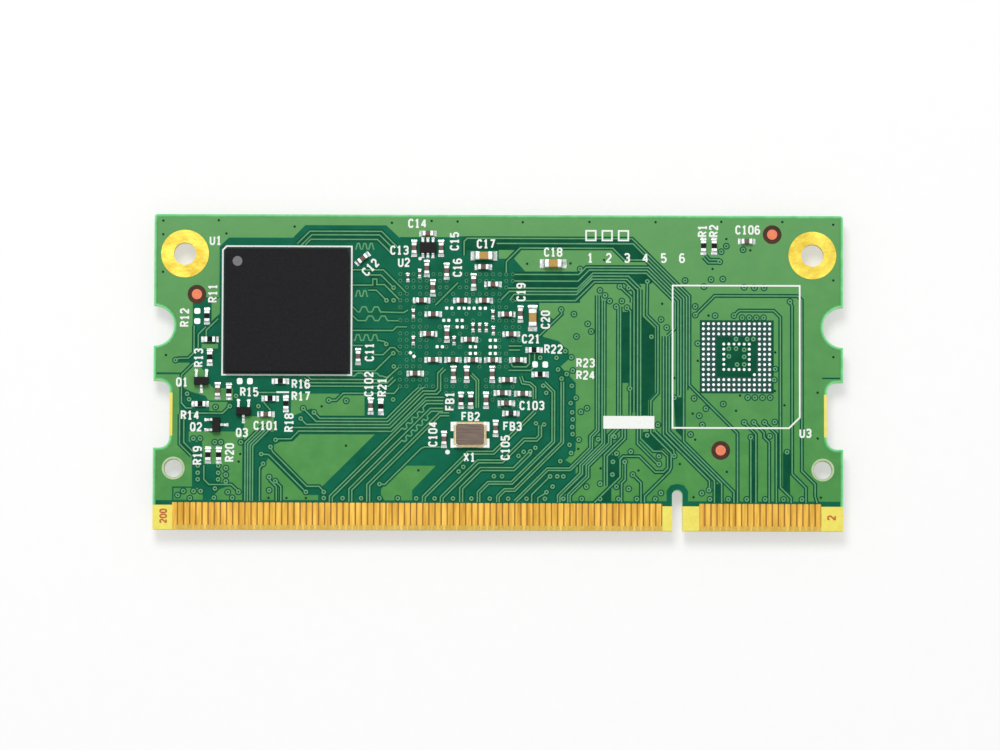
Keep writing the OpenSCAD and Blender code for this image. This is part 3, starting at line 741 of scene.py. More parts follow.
CONTACT_FOOT = Finish(
    "laminate_at_foot", "package_laminate", (222, 196, 96), (190, 156, 66), Grain.SPECKLE,
    size=0.3, rough=(0.5, 0.65), bump=0.2, specular=0.3,
)
INK = Finish(
    "printed_ink", "tinned_land", (250, 252, 248), (236, 240, 234), Grain.SPECKLE, size=0.25,
    rough=(0.5, 0.62), bump=0.2, specular=0.3,
)
PIN_INK = Finish(
    "pin_number_copper", "bare_copper", (206, 118, 62), (178, 92, 44), size=0.25,
    rough=(0.45, 0.6), bump=0.15, specular=0.3,
)
SURROUND = Finish(
    "mark_surround", "package_laminate", (82, 46, 24), (48, 30, 18), size=0.5, rough=(0.4, 0.55),
    bump=0.1, specular=0.2,
)
GILT = Finish(
    "gilt_contacts", "gold_plate", (230, 186, 84), (196, 144, 44), Grain.BRUSHED_Y, size=0.42,
    rough=(0.26, 0.42), metallic=0.8, bump=0.3,
)
GILT_RING = Finish(
    "gilt_rings", "gold_plate", (238, 222, 92), (212, 178, 58), size=2.2, rough=(0.3, 0.44),
    metallic=0.5, bump=0.2, specular=0.3,
)
COPPER = Finish(
    "bare_copper", "bare_copper", (238, 142, 106), (224, 118, 82), size=0.4, rough=(0.4, 0.55),
    metallic=0.1, bump=0.2, specular=0.2,
)
TINNED = Finish(
    "tinned_lands", "tinned_land", (244, 248, 244), (210, 220, 214), size=0.3, rough=(0.25, 0.42),
    metallic=0.6, bump=0.2,
)
SOLDER = Finish(
    "reflowed_solder", "solder", (236, 240, 238), (160, 168, 166), size=0.35, rough=(0.16, 0.34),
    metallic=0.85, bump=0.6,
)
BALLS = Finish(
    "solder_balls", "solder", (206, 210, 210), (150, 156, 158), size=0.2, rough=(0.25, 0.4),
    metallic=0.85, bump=0.3,
)
MOULDING = Finish(
    "package_moulding", "package_moulding", (35, 35, 37), (20, 20, 22), Grain.SPECKLE, size=0.22,
    rough=(0.5, 0.68), bump=0.5, specular=0.08,
)
CHIP_MOULDING = Finish(
    "chip_moulding", "package_moulding", (28, 25, 25), (12, 11, 12), Grain.SPECKLE, size=0.16,
    rough=(0.45, 0.62), bump=0.5, specular=0.15,
)
PACKAGE_LAMINATE = Finish(
    "package_laminate", "package_laminate", (30, 66, 44), (18, 46, 32), Grain.BRUSHED_X, size=0.2,
    rough=(0.4, 0.55), bump=0.2, specular=0.2,
)
CRYSTAL_CERAMIC = Finish(
    "crystal_ceramic", "crystal_ceramic", (220, 204, 162), (194, 174, 130), Grain.CELL, size=0.12,
    rough=(0.4, 0.55), bump=0.2, specular=0.3,
)
SEAL = Finish(
    "seal_ring", "seal_metal", (246, 234, 190), (216, 194, 138), size=0.3, rough=(0.22, 0.35),
    metallic=0.5, bump=0.15,
)
LID = Finish(
    "crystal_lid", "lid_metal", (124, 108, 97), (92, 79, 70), Grain.BRUSHED_X, size=0.16,
    rough=(0.32, 0.46), metallic=0.4, bump=0.4, specular=0.3,
)
LEADS = Finish(
    "tinned_leads", "lead_metal", (238, 240, 238), (186, 190, 190), Grain.BRUSHED_Y, size=0.12,
    rough=(0.22, 0.38), metallic=0.8, bump=0.3,
)
END_METAL = Finish(
    "end_caps", "end_metal", (250, 252, 250), (206, 211, 208), size=0.22, rough=(0.25, 0.42),
    metallic=0.55, bump=0.6,
)
BROWN_CERAMIC = Finish(
    "brown_ceramic", "brown_ceramic", (124, 100, 90), (86, 68, 61), Grain.CELL, size=0.06,
    rough=(0.4, 0.55), bump=0.2, specular=0.2,
)
TAN_CERAMIC = Finish(
    "tan_ceramic", "tan_ceramic", (198, 160, 90), (164, 126, 64), Grain.CELL, size=0.08,
    rough=(0.4, 0.55), bump=0.2, specular=0.2,
)
ALUMINA = Finish(
    "alumina", "alumina", (232, 232, 226), (208, 208, 200), Grain.CELL, size=0.06,
    rough=(0.45, 0.6), bump=0.2, specular=0.3,
)
GLASS_COAT = Finish(
    "black_glass", "black_glass", (22, 20, 20), (8, 8, 8), size=0.3, rough=(0.2, 0.34), bump=0.2,
    specular=0.15,
)
FERRITE = Finish(
    "ferrite", "ferrite", (58, 52, 50), (32, 29, 28), Grain.CELL, size=0.07, rough=(0.45, 0.6),
    bump=0.25, specular=0.2,
)
CORE = Finish(
    "core_compound", "core_compound", (80, 80, 82), (50, 50, 53), Grain.SPECKLE, size=0.3,
    rough=(0.5, 0.66), bump=0.6, specular=0.25,
)
INDEX_PAINT = Finish(
    "index_mark", "package_moulding", (130, 128, 128), (104, 102, 102), Grain.SPECKLE, size=0.12,
    rough=(0.5, 0.6), bump=0.2, specular=0.2,
)
FLOOR_PAPER = FloorFinish(
    "floor_paper", "", (255, 255, 255), (252, 252, 252), Grain.SPECKLE, size=2.0,
    rough=(0.8, 0.9), bump=0.05, specular=0.1,
)

NODE_FINISHES: dict[str, Finish] = {
    "circuit_board": BARE_MASK,
    "screw_hole_plating": GILT_RING,
    "edge_contacts_upper": GILT,
    "edge_contacts_lower": GILT,
    "sighting_marks": COPPER,
    "vacant_grid_lands": TINNED,
    "vacant_chip_pads": TINNED,
    "memory_moulding": MOULDING,
    "memory_laminate": PACKAGE_LAMINATE,
    "memory_balls": BALLS,
    "crystal_base": CRYSTAL_CERAMIC,
    "crystal_seal_ring": SEAL,
    "crystal_lid": LID,
    "crystal_terminals": TINNED,
    "transistor_bodies": CHIP_MOULDING,
    "transistor_leads": LEADS,
    "supply_chip_body": CHIP_MOULDING,
    "supply_chip_leads": LEADS,
    "capacitor_bodies": BROWN_CERAMIC,
    "capacitor_end_caps": END_METAL,
    "large_capacitor_bodies": TAN_CERAMIC,
    "large_capacitor_end_caps": END_METAL,
    "small_capacitor_bodies": BROWN_CERAMIC,
    "small_capacitor_end_caps": END_METAL,
    "resistor_slabs": ALUMINA,
    "resistor_coats": GLASS_COAT,
    "resistor_end_caps": END_METAL,
    "bead_bodies": FERRITE,
    "bead_end_caps": END_METAL,
    "solder_joints_upper": SOLDER,
    "processor_moulding": MOULDING,
    "processor_laminate": PACKAGE_LAMINATE,
    "processor_balls": BALLS,
    "inductor_cores": CORE,
    "inductor_terminals": LEADS,
    "regulator_body": CHIP_MOULDING,
    "regulator_lands": TINNED,
    "lower_capacitor_bodies": BROWN_CERAMIC,
    "lower_capacitor_end_caps": END_METAL,
    "lower_large_capacitor_bodies": TAN_CERAMIC,
    "lower_large_capacitor_end_caps": END_METAL,
    "lower_resistor_slabs": ALUMINA,
    "lower_resistor_coats": GLASS_COAT,
    "lower_resistor_end_caps": END_METAL,
    "solder_joints_lower": SOLDER,
}


def dress_frame() -> None:
    """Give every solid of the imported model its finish."""
    for name, node in frame["nodes"].items():
        node.data.materials.clear()
        node.data.materials.append(NODE_FINISHES[name].material())
        LOG.info("dressed %s", name)


def lay(name: str, shells: list[Shell], finish: Finish) -> bpy.types.Object:
    """Make one piece of the object from shells.

    Args:
        name: Name of the piece.
        shells: Its shells, in millimetres.
        finish: Its finish.

    Returns:
        The piece, riding on the card.
    """
    whole = joined(shells)
    faces = [face for block in whole.faces for face in block.tolist()]
    mesh = bpy.data.meshes.new(name)
    mesh.from_pydata((whole.points * MM).tolist(), [], faces)
    mesh.validate()
    mesh.materials.append(finish.material())
    piece = bpy.data.objects.new(name, mesh)
    bpy.context.scene.collection.objects.link(piece)
    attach(piece, "root")
    LOG.info("laid %s: %d faces", name, len(faces))
    return piece


# The board's rim


@dataclass
class BoardEdge:
    """The board's rim with its painted edge glow, the painted glow round its peg holes, its bare
    ends and the bed of the contacts.
    """

    latch_r: float = 2.0
    latch_y: float = 4.5
    relief_depth: float = 1.6
    relief_low: float = -7.5
    relief_high: float = -0.9
    relief_r: float = 1.0
    corner_r: float = 0.3
    key_x: float = 17.55
    key_w: float = 1.0
    key_top: float = -11.5
    key_left_w: float = 0.95
    key_right_w: float = 1.65
    corner_points: int = 4
    relief_points: int = 8
    latch_points: int = 17
    slot_points: int = 14
    slot_share: float = 0.1
    glow_w: float = 0.15
    inner_glow_w: float = 0.28
    mask_y: float = -12.9
    mask_lap: float = 0.2
    foot_y: float = -15.05
    end_x: float = 31.85
    stagger: float = 0.2
    lip_w: float = 0.28
    lip_inset: float = 1.2
    peg_holes: Points = ((-31.8, -9.5), (31.8, -9.5))
    peg_r: float = 0.92
    peg_glow_r: float = 1.12

    def outline(self) -> np.ndarray:
        """Trace the board's rim counter-clockwise, with its notches, and the key slot last.

        Returns:
            The rim's corners.
        """
        x, y, r, deep = SIDE_X, FAR_Y, self.corner_r, self.relief_depth
        half, slot = self.key_w / 2, self.key_top - self.key_w / 2
        low, high, q = self.relief_low, self.relief_high, self.relief_r
        right = np.vstack([
            arc((x - r, -y + r), r, -90, 0, self.corner_points),
            [(x, low)],
            arc((x - deep + q, low + q), q, 270, 180, self.relief_points),
            arc((x - deep + q, high - q), q, 180, 90, self.relief_points),
            [(x, high)],
            arc((x, self.latch_y), self.latch_r, 270, 90, self.latch_points),
            arc((x - r, y - r), r, 0, 90, self.corner_points),
        ])
        left = right[::-1] * np.array([-1.0, 1.0])
        slot_path = np.vstack([
            [(self.key_x - half, -y)],
            arc((self.key_x, slot), half, 180, 0, self.slot_points - 2),
            [(self.key_x + half, -y)],
        ])
        return np.vstack([right, left, slot_path])

    def build(self) -> None:
        """Lay the painted edge glow, the painted glow round the peg holes, the bare laminate and the
        beds of the contacts.
        """
        rim = self.outline()
        slot = np.arange(len(rim)) >= len(rim) - self.slot_points
        share = np.where(slot, self.slot_share, 1.0)[:, None]
        holes = np.array(self.peg_holes)
        for side in Side:
            tag, high = side.name.lower(), side.span(GLOW_RISE)
            # The inner rim, the lit rim and the hole rings are painted light: pale glow bands
            # standing in for light on the cut edges, kept thin along the key slot.
            inner = border(rim, self.inner_glow_w * share, side.span(GLOW_RISE - 2 * STEP))
            lay(f"painted_inner_glow_{tag}", [inner], INNER_EDGE_GLOW)
            lay(f"painted_rim_glow_{tag}", [border(rim, self.glow_w * share, high)], EDGE_GLOW)
            ring = rings(holes, self.peg_r, self.peg_glow_r, high, RING_SIDES)
            lay(f"painted_hole_glow_{tag}", [ring], HOLE_GLOW)
            lay(f"bare_laminate_{tag}", self.bare(side), BARE_LAMINATE)
            lay(f"contact_bed_{tag}", self.beds(side, self.foot_y, self.mask_y), CONTACT_BED)
            lay(f"contact_foot_{tag}", self.beds(side, -FAR_Y, self.foot_y), CONTACT_FOOT)

    def key_fields(self) -> tuple[Point, Point]:
        """Both ends along X of the bare fields to the left and right of the key slot."""
        left, right = self.key_x - self.key_w / 2, self.key_x + self.key_w / 2
        return (left - self.key_left_w, left), (right, right + self.key_right_w)

    def bare(self, side: Side) -> list[Shell]:
        """Bare laminate at the ends of the contact row, by the key and along the notches.

        Args:
            side: Face of the board.

        Returns:
            One plate per field.
        """
        span, foot, top = side.span(BARE_RISE), -FAR_Y, self.mask_y - self.mask_lap
        ends = ((-SIDE_X, -self.end_x), (self.end_x - self.stagger, SIDE_X), *self.key_fields())
        fields = [box_path((first, foot), (last, top)) for first, last in ends]
        inner = SIDE_X - self.relief_depth
        low, high = self.relief_low + self.lip_inset, self.relief_high - self.lip_inset
        for way in (-1.0, 1.0):
            first, last = sorted((way * inner, way * (inner - self.lip_w)))
            fields.append(box_path((first, low), (last, high)))
        return [plate(field, span) for field in fields]

    def beds(self, side: Side, low: float, high: float) -> list[Shell]:
        """Laminate under the two groups of contacts, between two levels of Y.

        Args:
            side: Face of the board.
            low: Lowest Y.
            high: Highest Y.

        Returns:
            One plate per group.
        """
        (before, _), (_, after) = self.key_fields()
        groups = ((-self.end_x, before), (after, self.end_x - self.stagger))
        span = side.span(BARE_RISE - STEP)
        return [plate(box_path((first, low), (last, high)), span) for first, last in groups]


# The conductors


@dataclass(frozen=True)
class Run:
    """One trace, or several side by side, along a path."""

    path: Points
    lanes: int = 1
    pitch: float = 0.28

    def lines(self) -> list[np.ndarray]:
        """Shift the path sideways along its mitres, once for each lane.

        Returns:
            One path per lane.
        """
        path = np.array(self.path, float)
        step = mitres(path, False)
        shifts = (np.arange(self.lanes) - (self.lanes - 1) / 2) * self.pitch
        return [path + step * shift for shift in shifts]

    def gap(self, trace_w: float, gap_w: float) -> tuple[np.ndarray, float] | None:
        """Path and width of the strip without copper round all lanes."""
        return np.array(self.path, float), (self.lanes - 1) * self.pitch + trace_w + 2 * gap_w


@dataclass(frozen=True)
class Meander:
    """A trace that runs in blunt waves, to make up its length."""

    start: Point
    end: Point
    rise: float
    waves: int
    steps: int = 14
    middle: float = 0.5
    swing: float = 0.9

    def lines(self) -> list[np.ndarray]:
        """Step evenly to the end, and to the left by a cosine wave cut off on both sides.

        Returns:
            The path, alone in a list.
        """
        turn = np.linspace(0.0, self.waves, self.steps * self.waves + 1)
        wave = self.middle - self.swing * np.cos(2 * math.pi * turn)
        lift = np.clip(wave, 0.0, 1.0) * self.rise
        run = np.subtract(self.end, self.start)
        left = np.array([-run[1], run[0]]) / np.linalg.norm(run)
        return [self.start + np.outer(turn / self.waves, run) + np.outer(lift, left)]

    def gap(self, trace_w: float, gap_w: float) -> tuple[np.ndarray, float] | None:
        """Waves lie where no pour is, so they need no gap."""
        return None


# Edges of the copper along the notches, and how far it keeps back from them.
LATCH_BACK = 0.3
RELIEF_BACK = 0.28
LATCH_TURN = (97.5, 262.5)
LATCH_RIGHT = listed(
    arc((SIDE_X, BoardEdge.latch_y), BoardEdge.latch_r + LATCH_BACK, *LATCH_TURN)
)
LATCH_LEFT = tuple((-x, y) for x, y in LATCH_RIGHT[::-1])
RELIEF_X = SIDE_X - BoardEdge.relief_depth + BoardEdge.relief_r
RELIEF_R = BoardEdge.relief_r + RELIEF_BACK
RELIEF_HIGH = (RELIEF_X, BoardEdge.relief_high - BoardEdge.relief_r)
RELIEF_LOW = (RELIEF_X, BoardEdge.relief_low + BoardEdge.relief_r)
RELIEF_RIGHT = listed(np.vstack([
    arc(RELIEF_HIGH, RELIEF_R, 90, 180, BoardEdge.relief_points),
    arc(RELIEF_LOW, RELIEF_R, 180, 270, BoardEdge.relief_points),
]))
RELIEF_LEFT = tuple((-x, y) for x, y in RELIEF_RIGHT[::-1])

# Copper fields on the upper face.
UPPER_POURS: tuple[Points, ...] = (
    (
        (-33.5, 15.22), (-9.7, 15.22), (-9.7, 13.2), (-11.05, 14.45), (-19.0, 14.45),
        (-20.2, 13.2), (-26.5, 13.2), (-27.4, 12.3), (-27.4, 7.3), (-30.0, 7.3), (-30.0, 1.9),
        (-30.4, 1.45), (-31.4, 1.45), (-31.4, 0.85), (-30.3, 0.85), (-30.2, 0.6), (-30.9, -0.1),
        (-33.5, -0.1), *LATCH_LEFT,
    ),
    (
        (-30.9, -0.4), (-30.0, 0.5), (-29.3, 0.5), (-28.6, -0.2), (-28.6, -1.0), (-27.9, -1.65),
        (-26.0, -1.65), (-26.0, -2.85), (-28.4, -2.85), (-28.7, -2.4), (-30.1, -2.0),
        (-30.9, -1.6),
    ),
    ((-28.3, -3.0), (-26.6, -3.0), (-26.2, -3.4), (-26.9, -3.9), (-28.3, -3.9)),
    ((-29.1, 2.7), (-29.1, 2.25), (-27.5, 2.25), (-27.5, 2.7)),
    ((-28.15, 6.8), (-28.15, 4.95), (-27.35, 5.7), (-27.35, 7.3)),
    (
        (-33.5, -0.3), (-31.25, -0.3), (-31.25, -7.1), (-30.0, -8.35), (-29.95, -11.3),
        (-31.9, -11.3), (-31.9, -12.65), (-33.5, -12.65), (-33.5, -7.78), *RELIEF_LEFT,
        (-33.5, -0.62),
    ),
    (
        (-30.3, -5.9), (-25.05, -5.9), (-25.05, -12.6), (-28.2, -12.6), (-27.3, -11.6),
        (-26.0, -11.1), (-26.3, -10.9), (-27.2, -10.9), (-27.2, -9.1), (-28.8, -9.1),
        (-29.0, -6.9), (-30.3, -6.9),
    ),
    ((-31.75, -11.45), (-28.9, -11.45), (-28.9, -12.6), (-31.75, -12.6)),
    ((-24.9, -4.4), (-22.0, -4.4), (-22.0, -5.9), (-23.0, -5.9), (-23.8, -6.7), (-24.9, -6.7)),
    (
        (-23.15, -12.6), (-23.15, -9.7), (-22.5, -8.5), (-19.1, -11.9), (-18.9, -12.1),
        (-17.6, -12.1), (-17.6, -12.6),
    ),
    (
        (-19.4, -6.15), (-12.1, -6.15), (-17.3, -11.35), (-17.5, -11.05), (-18.65, -11.05),
        (-21.95, -7.75), (-21.95, -7.2), (-21.3, -6.9), (-20.1, -6.85),
    ),
    (
        (-11.45, -11.5), (-9.1, -9.2), (-6.1, -9.2), (-8.4, -11.6), (-8.4, -12.6), (-11.1, -12.6),
        (-11.45, -12.1),
    ),
    ((-20.3, -2.15), (-13.1, -2.15), (-13.1, -4.3), (-17.6, -4.3), (-18.3, -3.6), (-20.3, -4.4)),
    ((0.0, 11.2), (0.75, 11.2), (1.85, 12.35), (0.0, 12.35)),
    (
        (-9.7, 15.22), (33.5, 15.22), *LATCH_RIGHT, (33.5, -0.62), *RELIEF_RIGHT,
        (33.5, -7.78), (33.5, -12.6), (18.6, -12.6), (18.6, -11.6), (18.2, -11.05),
        (17.55, -10.9), (16.9, -11.05), (16.5, -11.6), (16.5, -12.6), (8.9, -12.6), (5.7, -12.6),
        (7.6, -10.6), (7.6, -9.2), (6.6, -8.6), (7.6, -7.7), (7.6, -1.0), (6.1, 0.6), (6.9, 1.3),
        (6.9, 2.1), (5.9, 3.1), (4.4, 3.5), (4.2, 4.05), (5.4, 5.25), (4.0, 6.1), (4.0, 6.85),
        (8.0, 6.85), (8.0, 9.95), (2.6, 9.95), (1.5, 11.2), (2.2, 12.0), (2.4, 13.4),
        (-3.6, 13.4), (-4.4, 13.3), (-9.7, 13.3),
    ),
)

# Fields without copper, laid over the pours.
UPPER_FIELDS: tuple[Points, ...] = (
    (
        (1.4, 9.9), (7.9, 9.9), (8.65, 10.6), (14.8, 10.6), (15.9, 9.5), (14.9, 8.75),
        (9.5, 8.75), (7.75, 6.9), (1.4, 6.9),
    ),
    ((-3.3, 13.4), (12.9, 13.4), (14.9, 11.4), (12.4, 11.0), (11.2, 12.05), (-3.3, 12.05)),
    ((19.75, -2.0), (27.0, -2.0), (27.0, 5.2), (19.75, 5.2)),
    ((12.15, 6.0), (12.8, 6.0), (12.8, -1.0), (12.15, -1.0)),
    ((14.1, 5.6), (15.35, 4.4), (15.35, -2.0), (14.7, -2.7), (14.7, -4.2), (14.1, -4.2)),
    ((17.2, -2.4), (18.0, -2.4), (18.0, -6.3), (17.4, -5.7)),
    ((10.7, -8.1), (11.75, -8.1), (11.75, -10.4), (11.1, -11.05), (10.7, -11.05)),
    ((14.2, -5.8), (15.0, -5.8), (16.6, -7.4), (15.3, -7.55), (14.15, -6.4)),
    ((27.9, -7.8), (28.6, -7.8), (28.6, -11.9), (27.9, -11.2)),
    ((21.25, -10.9), (21.85, -10.9), (21.85, -12.7), (21.25, -12.7)),
    ((24.85, -6.6), (25.2, -6.6), (25.2, -12.7), (24.85, -12.7)),
    ((9.2, -12.7), (10.6, -11.3), (11.1, -11.3), (11.1, -12.7)),
    ((31.75, -0.42), (33.5, -0.42), (33.5, -0.57), (31.75, -0.57)),
)

